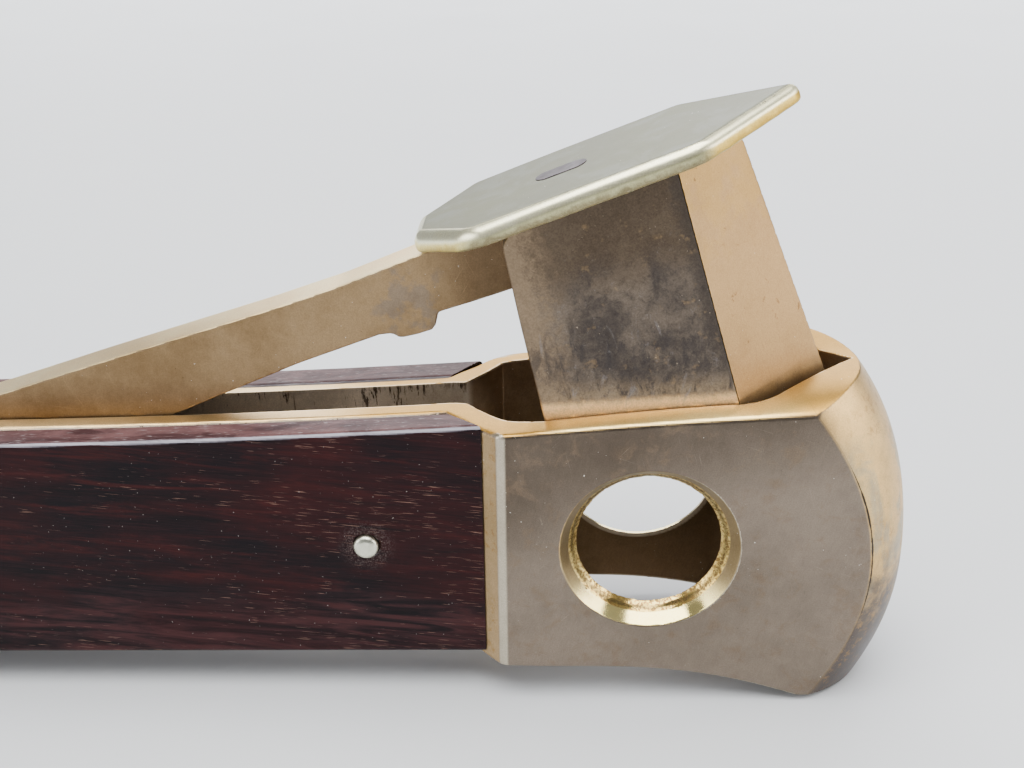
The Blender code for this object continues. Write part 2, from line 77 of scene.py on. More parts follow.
# handle
REAR_X = -104.0
REAR_ROUND = 8.0
HANDLE_TOP_Z = 12.8
HANDLE_TOP_SLOPE = 0.062
HANDLE_TOP_BOW = 0.00042
HANDLE_BOTTOM_Z = -13.3
HANDLE_BOTTOM_SLOPE = 0.0125
SLOT_HALF = 2.51
LINER_HALF = 4.64
FAR_LINER_HALF = 4.05
SCALE_HALF = 8.34
SCALE_REAR = -103.6
GAP = 0.08
PIN_R = 1.3
PIN_PROUD = 0.7
PIN_GAP = 0.04
PINS = {"front_pin": (-28.6, -0.5), "middle_pin": (-74.0, -9.5), "rear_pin": (-100.2, -8.6)}
PIVOT_R = 2.0

# head
HEAD_HALF = 9.87
HEAD_WALL = 2.25
INNER_HALF = HEAD_HALF - HEAD_WALL
HEAD_TOP_Z = 14.0
HEAD_TOP_SLOPE = 0.078
HEAD_TOP_BOW = 0.0008
HEAD_BOTTOM_Z = -14.25
HEAD_BOTTOM_BOW = 0.0095
BOTTOM_BEND_X = -3.0
BOTTOM_END_X = 16.0
FLARE_BACK_X = -20.5
FLARE_FRONT_X = -14.8
FLARE_LEAN = 0.9175
FAR_FLARE_BACK_X = -20.7
FAR_FLARE_LEAN = 1.25
FLARE_R = 0.5
FAR_FLARE_R = 1.4
CAVITY_BACK_X = -18.4
CAVITY_LEAN = 1.017
FAR_CAVITY_BACK_X = -18.85
FAR_CAVITY_LEAN = 1.37
CAVITY_BEND_X = 10.6
CAVITY_TIP_X = 20.4
TAPER_X = -14.4
TAPER_HALF = 6.8
TAPER_LEAN = 0.24
NOSE_X = 27.4
NOSE_Z = -5.0
NOSE_UPPER_BOW = 0.0095
NOSE_TOP_BOW = 8.5e-6
NOSE_LOWER_BOW = 0.0183
NOSE_PLAN_R = 11.0
ARRIS_X = 21.9
ARRIS_Z = -2.6
ARRIS_BOW = 0.0225
TOP_EDGE_R = 0.45
BOTTOM_EDGE_R = 0.3
ARRIS_R = 0.16
HOLLOW_EDGE_R = 0.11

# guide hole
RIM_R = 9.0
RIM_EDGE_R = 0.1
SINK_DEPTH = 1.2
SINK_R = 8.12
NEAR_BORE_R = 7.27
NEAR_BORE_DEPTH = 2.15
FAR_BORE_R = 8.56
FAR_LAND = 0.35

# lever, carrier and blades
LEVER_HALF = 2.3
BLADE_OUT = 7.42
BLADE_THICK = 2.05
BLADE_REAR_X = -9.7
BLADE_FOOT_Z = -12.0
BLADE_CORNER_R = 1.5
GRIND_SLOPE = 0.5625
EDGE_THICK = 0.25
SEAM = 0.07
SEAM_TOP_X = 7.3
SEAM_LEAN = 0.075
SEAM_FOOT_X = 8.99
SEAM_FOOT_Z = -7.0
CARRIER_FOOT_Z = -10.5
WEDGE_X = 16.9
WEDGE_LEAN = 0.173
WEDGE_CORNER_R = 1.8
WEDGE_TIP_HALF = 0.42
WEDGE_TIP_LONG = 0.45
TONGUE_X = 5.0
TONGUE_FOOT_Z = 6.9

# thumb plate
PLATE_Z = 15.5
PLATE_SLOPE = math.atan(0.145)
PLATE_THICK = 1.9
PLATE_HALF = 9.3
PLATE_BACK = 18.5
PLATE_BACK_HALF = 2.8
PLATE_BACK_LEAN = 5.8 / 6.5
PLATE_FRONT = 19.8
PLATE_FRONT_HALF = 0.7
PLATE_FRONT_LEAN = 10.0 / 8.6
PLATE_POINT = 0.5
TENON_X = -2.9
TENON_LONG = 5.2
TENON_WIDE = 2.6
TENON_DEEP = 0.9
TENON_PROUD = 0.08


# ---- fields
# a factor just under 1 before a sloping face's value turns that value into a distance

def both(a, b, r):
    """Inside a and inside b, with a corner rounded to radius r."""
    inner = np.minimum(np.maximum(a, b), -r)
    return inner + np.hypot(np.maximum(a + r, 0.0), np.maximum(b + r, 0.0))


def either(a, b, r):
    """Inside a or inside b, with a hollow corner filled to radius r."""
    return -both(-a, -b, r)


def smooth(x, start, end):
    t = np.clip((x - start) / (end - start), 0.0, 1.0)
    return t * t * (3 - 2 * t)


def waves(x, y, z, size, seed):
    """A gentle irregular ripple between about -1 and 1, its bumps about size millimetres across."""
    spin = np.random.default_rng(seed)
    total = np.zeros_like(x * 1.0)
    for _ in range(7):
        a, b, c = spin.normal(size=3)
        pace = 2.2 / (size * math.sqrt(a * a + b * b + c * c)) * spin.uniform(0.6, 1.7)
        total += np.sin(pace * (a * x + b * y + c * z) + spin.uniform(0, 6.3))
    return total / 4.0


def handle_top(x):
    ahead = x - FLARE_BACK_X
    return HANDLE_TOP_Z + HANDLE_TOP_SLOPE * ahead + HANDLE_TOP_BOW * ahead * ahead


def handle_bottom(x):
    return HANDLE_BOTTOM_Z + HANDLE_BOTTOM_SLOPE * x


def rear_drop(x):
    """How far the rounded back end is below the handle's top, and above its bottom."""
    reach = np.clip(REAR_ROUND - (x - REAR_X), 0.0, REAR_ROUND)
    return REAR_ROUND - np.sqrt(REAR_ROUND ** 2 - reach ** 2)


def outer_half(x):
    t = np.clip((x - FLARE_BACK_X) / (FLARE_FRONT_X - FLARE_BACK_X), 0.0, 1.0)
    return LINER_HALF + (HEAD_HALF - LINER_HALF) * t


def top_edge(x):
    head = HEAD_TOP_Z + HEAD_TOP_SLOPE * x - HEAD_TOP_BOW * x * x
    t = smooth(x, FLARE_BACK_X, FLARE_FRONT_X)
    return handle_top(x) * (1 - t) + head * t - rear_drop(x)


def top_crown(x):
    return 0.9 * smooth(x, -24.0, 8.0) + 0.6 * smooth(x, 8.0, 20.0)


def far_lift(x, y):
    """The head's top face stands a little higher towards its far side."""
    rise = 0.4 * smooth(x, -19.0, -13.0) + 1.6 * smooth(x, 4.0, 18.0)
    return rise * np.clip(y / HEAD_HALF, 0.0, 1.0) ** 2


def bottom_edge(x):
    bent = np.maximum(np.minimum(x, BOTTOM_END_X) - BOTTOM_BEND_X, 0.0)
    head = HEAD_BOTTOM_Z - HEAD_BOTTOM_BOW * bent ** 2
    t = smooth(x, FLARE_BACK_X, FLARE_FRONT_X)
    return handle_bottom(x) * (1 - t) + head * t + rear_drop(x)


def bottom_crown(x):
    return 0.6 * smooth(x, -16.0, 14.0)


def nose_reach(z):
    """How far forward the nose comes on the middle plane."""
    rise = z - NOSE_Z
    upper = NOSE_UPPER_BOW * rise ** 2 + NOSE_TOP_BOW * rise ** 4
    return NOSE_X - np.where(rise > 0, upper, NOSE_LOWER_BOW * rise ** 2)


def nose_surface(y, z):
    full = NOSE_PLAN_R - math.sqrt(NOSE_PLAN_R ** 2 - HEAD_HALF ** 2)
    part = NOSE_PLAN_R - np.sqrt(np.maximum(NOSE_PLAN_R ** 2 - y * y, 0.2))
    arris = ARRIS_X - ARRIS_BOW * (z - ARRIS_Z) ** 2
    return nose_reach(z) - (nose_reach(z) - arris) * part / full


def flare_on(far, side, x):
    """Half the width over the liners, and the distance from the slanting face in front of the scale."""
    liner = np.where(far, FAR_LINER_HALF, LINER_HALF)
    lean = np.where(far, FAR_FLARE_LEAN, FLARE_LEAN)
    start = np.where(far, FAR_FLARE_BACK_X, FLARE_BACK_X)
    return liner, (side - liner - (x - start) * lean) / np.sqrt(1 + lean ** 2)


def hollow(x, y):
    """The head's hollow and the handle's slot, both open at the top and at the bottom."""
    side = np.abs(y)
    far = y > 0
    lean = np.where(far, FAR_CAVITY_LEAN, CAVITY_LEAN)
    start = np.where(far, FAR_CAVITY_BACK_X, CAVITY_BACK_X)
    back = (side - SLOT_HALF - (x - start) * lean) / np.sqrt(1 + lean ** 2)
    taper = side - TAPER_HALF - (x - TAPER_X) * TAPER_LEAN - 9.0 * far
    back = both(back, taper, 0.5)
    tip_lean = INNER_HALF / (CAVITY_TIP_X - CAVITY_BEND_X)
    tip = (side - (CAVITY_TIP_X - x) * tip_lean) / math.hypot(1.0, tip_lean)
    room = both(both(side - INNER_HALF, back, 0.12), tip, 1.2)
    slot = np.maximum(side - SLOT_HALF, x)
    return either(room, slot, 0.25)


def near_hole(x, y, z):
    """The near wall's hole: a polished countersink, a rough land and a bore."""
    rho = np.hypot(x, z)
    depth = HEAD_HALF + y
    polished = (rho - RIM_R + depth * (RIM_R - SINK_R) / SINK_DEPTH) * 0.806
    rough = rho - SINK_R + (depth - SINK_DEPTH) * (SINK_R - NEAR_BORE_R) / (NEAR_BORE_DEPTH - SINK_DEPTH)
    rough = rough * 0.745 + 0.02 * waves(x, 3 * y, z, 0.9, 5) * (depth > SINK_DEPTH)
    sink = np.minimum(np.maximum(polished, depth - SINK_DEPTH), np.maximum(rough, SINK_DEPTH - depth))
    return np.minimum(np.maximum(sink, y), np.maximum(rho - NEAR_BORE_R, y))


def far_hole(x, y, z):
    """The far wall's bore, countersunk outwards."""
    funnel = (np.hypot(x, z) - FAR_BORE_R - np.maximum(y - INNER_HALF - FAR_LAND, 0.0)) * 0.75
    return np.maximum(funnel, -y)


def frame_field(x, y, z):
    side = np.abs(y)
    far = y > 0
    liner, flare = flare_on(far, side, x)
    walls = both(side - HEAD_HALF, flare, np.where(far, FAR_FLARE_R, FLARE_R))
    walls = either(walls, side - liner, 0.05)
    share = np.clip(side / outer_half(x), 0.0, 1.0)
    top = z - top_edge(x) - top_crown(x) * (1 - share ** 4) - far_lift(x, y)
    bottom = bottom_edge(x) - bottom_crown(x) * (1 - share ** 2) - z
    nick = 0.04 * waves(x, y, z, 3.0, 11)
    body = both(walls, top, TOP_EDGE_R + 0.6 * nick)
    body = both(body, bottom, BOTTOM_EDGE_R + nick)
    body = both(body, (x - nose_surface(y, z)) * 0.86, ARRIS_R)
    body = np.maximum(body, REAR_X - x)
    body = both(body, -hollow(x, y), HOLLOW_EDGE_R)
    body = both(body, -near_hole(x, y, z), RIM_EDGE_R)
    return both(body, -far_hole(x, y, z), 0.05)


def scale_field(sign):
    """A wooden scale, on the near side where sign is -1 and on the far side where it is 1."""
    def field(x, y, z):
        side = y * sign
        drop = rear_drop(x + (REAR_X - SCALE_REAR))
        liner, flare = flare_on(sign > 0, side, x)
        wood = both(side - SCALE_HALF, liner + GAP - side, 0.12)
        wood = both(wood, z - handle_top(x) + drop, 0.55 + 0.08 * waves(x, y, z, 5.0, 21))
        wood = both(wood, handle_bottom(x) + drop - z, 0.5)
        wood = np.maximum(wood, SCALE_REAR - x)
        wood = both(wood, 0.035 - flare, 0.05)
        for pin_x, pin_z, radius in [(*at, PIN_R) for at in PINS.values()] + [(PIVOT_X, PIVOT_Z, PIVOT_R)]:
            wood = both(wood, radius + PIN_GAP - np.hypot(x - pin_x, z - pin_z), 0.1)
        return wood
    return field


def outline_of(points):
    """Distance from a closed outline in X and Z, negative inside."""
    ends = np.array(points, float)
    starts = np.roll(ends, 1, axis=0)

    def outline(x, z):
        best = np.full(np.shape(x), 1e9)
        inside = np.zeros(np.shape(x), bool)
        for (ax, az), (bx, bz) in zip(starts, ends):
            ex, ez = bx - ax, bz - az
            t = np.clip(((x - ax) * ex + (z - az) * ez) / (ex * ex + ez * ez), 0, 1)
            best = np.minimum(best, (x - ax - t * ex) ** 2 + (z - az - t * ez) ** 2)
            if az != bz:
                inside ^= ((az > z) != (bz > z)) & (x < ax + (z - az) / ez * ex)
        return np.sqrt(best) * np.where(inside, -1, 1)
    return outline


def plate_under(x):
    return PLATE_Z + math.tan(PLATE_SLOPE) * x


# the lever's side view: its top from the eye to the tongue, the lug, the underside, and round the tail
LEVER_LINE = [
    (-96.0, 4.0), (-94.4, 4.6), (-92.0, 5.2), (-88.0, 5.35), (-78.4, 6.3), (-63.9, 7.6),
    (-52.5, 8.7), (-35.0, 10.2), (-26.5, 11.1), (-19.0, 12.35), (TONGUE_X, plate_under(TONGUE_X) - GAP),
    (TONGUE_X, 8.0), (-10.2, 7.1), (-14.6, 6.62),
    (-17.2, 6.4), (-17.75, 6.33), (-18.0, 6.1), (-18.4, 5.15), (-18.9, 4.7), (-20.4, 4.54),
    (-21.9, 4.53), (-22.35, 4.66), (-22.7, 5.0), (-23.1, 5.2), (-24.2, 5.3),
    (-33.0, 4.1), (-41.3, 2.6), (-47.5, 1.4), (-60.0, -0.9), (-70.0, -2.6), (-80.0, -3.7), (-88.0, -4.15),
    (-92.0, -4.2), (-95.0, -4.1), (-99.4, -2.9), (-100.1, -2.3), (-100.2, -1.2), (-99.6, 0.6), (-98.5, 1.9)]
lever_outline = outline_of(LEVER_LINE)


def lever_field(x, y, z):
    bar = both(lever_outline(x, z), np.abs(y) - LEVER_HALF, 0.22 + 0.06 * waves(x, y, z, 4.0, 31))
    return both(bar, PIVOT_R + 0.05 - np.hypot(x - PIVOT_X, z - PIVOT_Z), 0.1)


def seam_x(z):
    """The joint between blade and carrier; its foot follows the swing about the pivot."""
    reach = math.hypot(SEAM_FOOT_X - PIVOT_X, SEAM_FOOT_Z - PIVOT_Z)
    curved = PIVOT_X + np.sqrt(reach ** 2 - (z - PIVOT_Z) ** 2)
    return np.where(z > SEAM_FOOT_Z, SEAM_TOP_X + SEAM_LEAN * (PLATE_Z - z), curved)


def carrier_field(x, y, z):
    """The wedge in front of the blades and the block between them, forked over the lever's tongue."""
    side = np.abs(y)
    front = WEDGE_X - WEDGE_LEAN * z
    seam = seam_x(z)
    tip = front - WEDGE_TIP_LONG
    flank = (side - WEDGE_TIP_HALF - (tip - x) * (BLADE_OUT - WEDGE_TIP_HALF) / (tip - seam)) * 0.86
    wedge = both(flank, seam - x, 0.02)
    wedge = both(wedge, both((x - front) * 0.98, CARRIER_FOOT_Z - z, WEDGE_CORNER_R), 0.3)
    block = np.maximum(BLADE_REAR_X + 0.6 - x, x - seam - 1.0)
    block = np.maximum(side - (BLADE_OUT - BLADE_THICK - GAP), block)
    body = both(np.minimum(wedge, block), (z - plate_under(x) + GAP) * 0.99, 0.05)
    body = both(body, CARRIER_FOOT_Z - z, 0.16 + 0.05 * waves(x, y, z, 2.0, 41))
    fork = np.maximum(np.maximum(side - LEVER_HALF - GAP, x - TONGUE_X - GAP), TONGUE_FOOT_Z - z)
    return both(body, -fork, 0.05)


def blade_field(sign):
    """The blade of the side that sign gives, ground on its inner face down to its lower edge."""
    def field(x, y, z):
        side = y * sign
        plate = both(side - BLADE_OUT, BLADE_OUT - BLADE_THICK - side, 0.1)
        rear = BLADE_REAR_X + 0.012 * np.maximum(z - 5.0, 0.0) - x + 0.035 * waves(x, y, z, 2.5, 61)
        plate = both(plate, both(rear, (z - plate_under(x) + GAP) * 0.99, BLADE_CORNER_R), 0.2)
        plate = both(plate, x - seam_x(z) + SEAM, 0.02)
        plate = both(plate, BLADE_FOOT_Z - z, 0.06)
        grind = (BLADE_OUT - EDGE_THICK - side - (z - BLADE_FOOT_Z) * GRIND_SLOPE) * 0.87
        return both(plate, grind, 0.05)
    return field


def on_plate(x, z):
    """Along the thumb plate and up from its underside."""
    along, rise = math.cos(PLATE_SLOPE), math.sin(PLATE_SLOPE)
    up = z - PLATE_Z
    return x * along + up * rise, up * along - x * rise


def plate_field(x, y, z):
    u, h = on_plate(x, z)
    side = np.abs(y)
    rear = -u - PLATE_BACK + (side - PLATE_BACK_HALF) * PLATE_BACK_LEAN
    front = u - PLATE_FRONT + (side - PLATE_FRONT_HALF) * PLATE_FRONT_LEAN
    outline = both(side - PLATE_HALF, rear / math.hypot(1.0, PLATE_BACK_LEAN), 1.6)
    outline = both(outline, front / math.hypot(1.0, PLATE_FRONT_LEAN), 1.2)
    outline = both(outline, -PLATE_BACK - u, 0.8)
    outline = both(outline, u - PLATE_FRONT - PLATE_POINT, 0.9)
    batter = 0.13 * waves(u, y, h * 3, 2.4, 51) + 0.07 * waves(u, y, h, 1.1, 52)
    shape = both(outline + 0.05, h - PLATE_THICK, 1.1 + 0.5 * smooth(-u, 2.0, 16.0))
    return both(shape, -h, np.maximum(0.30 + batter, 0.03))


def tenon_field(x, y, z):
    u, h = on_plate(x, z)
    u = u - TENON_X / math.cos(PLATE_SLOPE)
    half = TENON_WIDE / 2
    reach = np.hypot(np.maximum(np.abs(u) - TENON_LONG / 2 + half, 0.0), y) - half
    return both(np.maximum(reach, -TENON_DEEP - (h - PLATE_THICK)), h - PLATE_THICK - TENON_PROUD, 0.06)


# ---- from a field to a mesh

CORNERS = [(i, j, k) for i in (0, 1) for j in (0, 1) for k in (0, 1)]


def slope(field, points):
    """The outward direction at each point."""
    small = 0.004
    parts = []
    for axis in range(3):
        step = np.zeros(3)
        step[axis] = small
        parts.append((field(*(points + step).T) - field(*(points - step).T)) / (2 * small))
    grad = np.stack(parts, 1)
    return grad / np.maximum(np.linalg.norm(grad, axis=1), 1e-6)[:, None]


def surface_points(field, grid, value, cells):
    """A point in each cell, where the planes through the surface's crossings of its edges meet."""
    low = np.stack([grid[a][cells[:, a]] for a in range(3)], 1)
    high = np.stack([grid[a][cells[:, a] + 1] for a in range(3)], 1)
    total = np.zeros((len(cells), 3))
    hits = np.zeros((len(cells), 1))
    pull = np.zeros((len(cells), 3, 3))
    aim = np.zeros((len(cells), 3))
    for axis in range(3):
        for corner in CORNERS:
            if corner[axis]:
                continue
            a = cells + corner
            b = a.copy()
            b[:, axis] += 1
            va = value[tuple(a.T)]
            vb = value[tuple(b.T)]
            cross = (va < 0) != (vb < 0)
            t = (va[cross] / (va[cross] - vb[cross]))[:, None]
            pa = np.stack([grid[n][a[cross, n]] for n in range(3)], 1)
            pb = np.stack([grid[n][b[cross, n]] for n in range(3)], 1)
            met = pa + (pb - pa) * t
            facing = slope(field, met)
            total[cross] += met
            hits[cross] += 1
            pull[cross] += facing[:, :, None] * facing[:, None, :]
            aim[cross] += facing * (facing * met).sum(1)[:, None]
    mean = total / hits
    firm = 0.06
    points = np.linalg.solve(pull + firm * np.eye(3), (aim + firm * mean)[:, :, None])[:, :, 0]
    points = np.clip(points, low, high)
    for _ in range(2):
        off = np.clip(field(*points.T), -0.1, 0.1)[:, None]
        points = np.clip(points - off * slope(field, points), low, high)
    return points


def surface_quads(inside, index):
    """A quad, facing outwards, around each edge of the grid that the surface crosses."""
    quads = []
    for axis in range(3):
        u, v = [(1, 2), (2, 0), (0, 1)][axis]
        first = [slice(None)] * 3
        second = [slice(None)] * 3
        first[axis] = slice(0, -1)
        second[axis] = slice(1, None)
        at = np.argwhere(inside[tuple(first)] != inside[tuple(second)])
        at = at[(at[:, u] > 0) & (at[:, v] > 0) & (at[:, u] < index.shape[u]) & (at[:, v] < index.shape[v])]
        du, dv = np.zeros(3, int), np.zeros(3, int)
        du[u] = 1
        dv[v] = 1
        around = ((0, 0), (1, 0), (1, 1), (0, 1))
        ring = np.stack([index[tuple((at - du * i - dv * j).T)] for i, j in around], 1)
        out = inside[tuple(at.T)]
        ring[~out] = ring[~out][:, ::-1]
        quads.append(ring)
    return np.concatenate(quads)


def shade(mesh, field, points, quads):
    """Each face corner's normal, and how near to an edge or to a crevice it is."""
    normals = slope(field, points)
    corner = normals[quads]
    mean = corner.mean(1, keepdims=True)
    bent = np.linalg.norm(mean[:, 0], axis=1) < 0.995
    spots = (0.4 * points[quads[bent]] + 0.6 * points[quads[bent]].mean(1, keepdims=True)).reshape(-1, 3)
    spots -= np.clip(field(*spots.T), -0.2, 0.2)[:, None] * slope(field, spots)
    corner[bent] = slope(field, spots).reshape(-1, 4, 3)
    mesh.normals_split_custom_set(corner.reshape(-1, 3).tolist())
    reach = 0.6
    for label, side in (("edge", -1), ("crevice", 1)):
        near = np.clip(1 - side * field(*(points + side * normals * reach).T) / reach, 0, 1)[quads]
        tips = (points[quads[bent]] + side * corner[bent] * reach).reshape(-1, 3)
        near[bent] = np.clip(1 - side * field(*tips.T) / reach, 0, 1).reshape(-1, 4)
        layer = mesh.attributes.new(label, "FLOAT", "CORNER")
        layer.data.foreach_set("value", near.astype(np.float32).ravel())


def put(name, data):
    """A new object in the scene."""
    item = bpy.data.objects.new(name, data)
    bpy.context.scene.collection.objects.link(item)
    return item


def settle(name, mesh, place, look, body, stands_for):
    """A mesh in place in the shared frame, on its body, standing for its CAD nodes."""
    piece = put(name, mesh)
    piece.matrix_world = place
    mesh.materials.append(look)
    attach(piece, body)
    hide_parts(*stands_for)


def skin(name, field, grid, place, look, body, stands_for):
    """The surface where a field is zero, as a mesh of quads that lie on it."""
    value = field(*np.meshgrid(*grid, indexing="ij"))
    inside = value < 0
    shape = [n - 1 for n in inside.shape]
    count = np.zeros(shape, int)
    for i, j, k in CORNERS:
        count += inside[i:i + shape[0], j:j + shape[1], k:k + shape[2]]
    mixed = (count > 0) & (count < 8)
    cells = np.argwhere(mixed)
    index = np.full(shape, -1)
    index[mixed] = np.arange(len(cells))
    points = surface_points(field, grid, value, cells)
    quads = surface_quads(inside, index)
    mesh = bpy.data.meshes.new(name)
    mesh.vertices.add(len(points))
    mesh.vertices.foreach_set("co", (points * MM).astype(np.float32).ravel())
    mesh.loops.add(quads.size)
    mesh.loops.foreach_set("vertex_index", quads.ravel())
    mesh.polygons.add(len(quads))
    mesh.polygons.foreach_set("loop_start", np.arange(0, quads.size, 4))
    mesh.update(calc_edges=True)
    mesh.shade_smooth()
    shade(mesh, field, points, quads)
    settle(name, mesh, place, look, body, stands_for)


# ---- materials

class Look:
    """A material, and short calls that add nodes to it. Sizes are millimetres."""

    def __init__(self, name, metallic, roughness):
        self.material = bpy.data.materials.new(name)
        self.material.use_nodes = True
        self.tree = self.material.node_tree
        self.shader = self.tree.nodes["Principled BSDF"]
        self.shader.inputs["Metallic"].default_value = metallic
        self.shader.inputs["Roughness"].default_value = roughness
        self.place = self.add("ShaderNodeTexCoord")
        self.colour = None

    def add(self, kind, inputs=None, **settings):
        node = self.tree.nodes.new(kind)
        for key, value in settings.items():
            setattr(node, key, value)
        for key, value in (inputs or {}).items():
            if isinstance(value, bpy.types.NodeSocket):
                self.tree.links.new(value, node.inputs[key])
            else:
                node.inputs[key].default_value = value
        return node

    def noise(self, size, detail=4.0, rough=0.55, warp=0.0, stretch=(1, 1, 1), turn=0.0, shift=(0, 0, 0)):
        spot = self.add("ShaderNodeMapping", {
            "Vector": self.place.outputs["Object"], "Rotation": (0, turn, 0), "Location": shift,
            "Scale": [size * s * MM for s in stretch]}, vector_type="TEXTURE")
        return self.add("ShaderNodeTexNoise", {"Vector": spot.outputs[0], "Scale": 1.0, "Detail": detail,
                        "Roughness": rough, "Distortion": warp}).outputs[0]

    def position(self, axis):
        """Millimetres along an axis of the piece."""
        parts = self.add("ShaderNodeSeparateXYZ", {0: self.place.outputs["Object"]})
        return self.times(parts.outputs[axis], 1 / MM)

    def reach(self, x=0.0, z=0.0):
        """Millimetres from the line through x and z that runs along Y."""
        across = self.maths("POWER", self.less(self.position(0), x), 2.0)
        up = self.maths("POWER", self.less(self.position(2), z), 2.0)
        return self.maths("SQRT", self.plus(across, up))

    def facing(self, axis):
        """How far the surface faces along an axis, from -1 to 1."""
        parts = self.add("ShaderNodeSeparateXYZ", {0: self.place.outputs["Normal"]})
        return parts.outputs[axis]

    def square_to(self, axis):
        """1 where the surface faces along an axis, either way, and 0 where it runs along it."""
        return self.maths("ABSOLUTE", self.facing(axis))

    def side(self, low=0.7, high=0.9):
        """A mask of the faces that look sideways, to the near side or the far one."""
        return self.band(self.square_to(1), low, high)

    def own(self, name):
        """A value that the mesh carries: "edge" or "crevice"."""
        return self.add("ShaderNodeAttribute", attribute_name=name).outputs["Fac"]

    def maths(self, how, a, b=0.0, c=0.0):
        return self.add("ShaderNodeMath", {0: a, 1: b, 2: c}, operation=how).outputs[0]

    def times(self, first, *others):
        for other in others:
            first = self.maths("MULTIPLY", first, other)
        return first

    def plus(self, a, b):
        return self.maths("ADD", a, b)

    def less(self, a, b):
        return self.maths("SUBTRACT", a, b)

    def band(self, value, low, high, to_low=0.0, to_high=1.0):
        """Fades from to_low to to_high while a value goes from low to high, whichever is larger."""
        limits = {"Value": value, "From Min": low, "From Max": high, "To Min": to_low, "To Max": to_high}
        return self.add("ShaderNodeMapRange", limits, interpolation_type="SMOOTHSTEP").outputs[0]

    def faces(self, axis, low, high):
        return self.band(self.facing(axis), low, high)

    def past(self, axis, low, high, to_low=0.0, to_high=1.0):
        return self.band(self.position(axis), low, high, to_low, to_high)

    def stray(self, value, noise, by, low=0.3):
        """A value that wanders up and down by some amount, so that what is cut from it is ragged."""
        return self.plus(value, self.band(noise, low, 1 - low, -by, by))

    def grey(self, value):
        return self.add("ShaderNodeCombineColor", {0: value, 1: value, 2: value}).outputs[0]

    def mix(self, share, a, b, how="MIX"):
        a, b = [(*c, 1.0) if isinstance(c, tuple) else c for c in (a, b)]
        inputs = {0: share, 6: a, 7: b}
        return self.add("ShaderNodeMix", inputs, data_type="RGBA", blend_type=how).outputs[2]

    def coat(self, tone, *factors):
        """Lays a tone over the colour so far, as much as the product of the factors says."""
        self.colour = self.mix(self.times(*factors), self.colour, tone)

    def bump(self, height, depth):
        """Depth is the millimetres between height 0 and 1."""
        inputs = {"Height": height, "Strength": 1.0, "Distance": depth * MM}
        return self.add("ShaderNodeBump", inputs).outputs[0]

    def wear(self, colour, roughness, normal):
        for name, value in (("Base Color", colour), ("Roughness", roughness), ("Normal", normal)):
            self.tree.links.new(value, self.shader.inputs[name])
        return self.material


FLECK = (0.85, 0.80, 0.70)
# dark of dirt and painted shade in crevices
GRIME_AND_SHADE = (0.05, 0.035, 0.022)
# bright of worn edges and painted highlight
WORN_EDGE_AND_HIGHLIGHT = (0.84, 0.72, 0.54)


def brighter(colour, by):
    return tuple(min(c * by, 1.0) for c in colour)


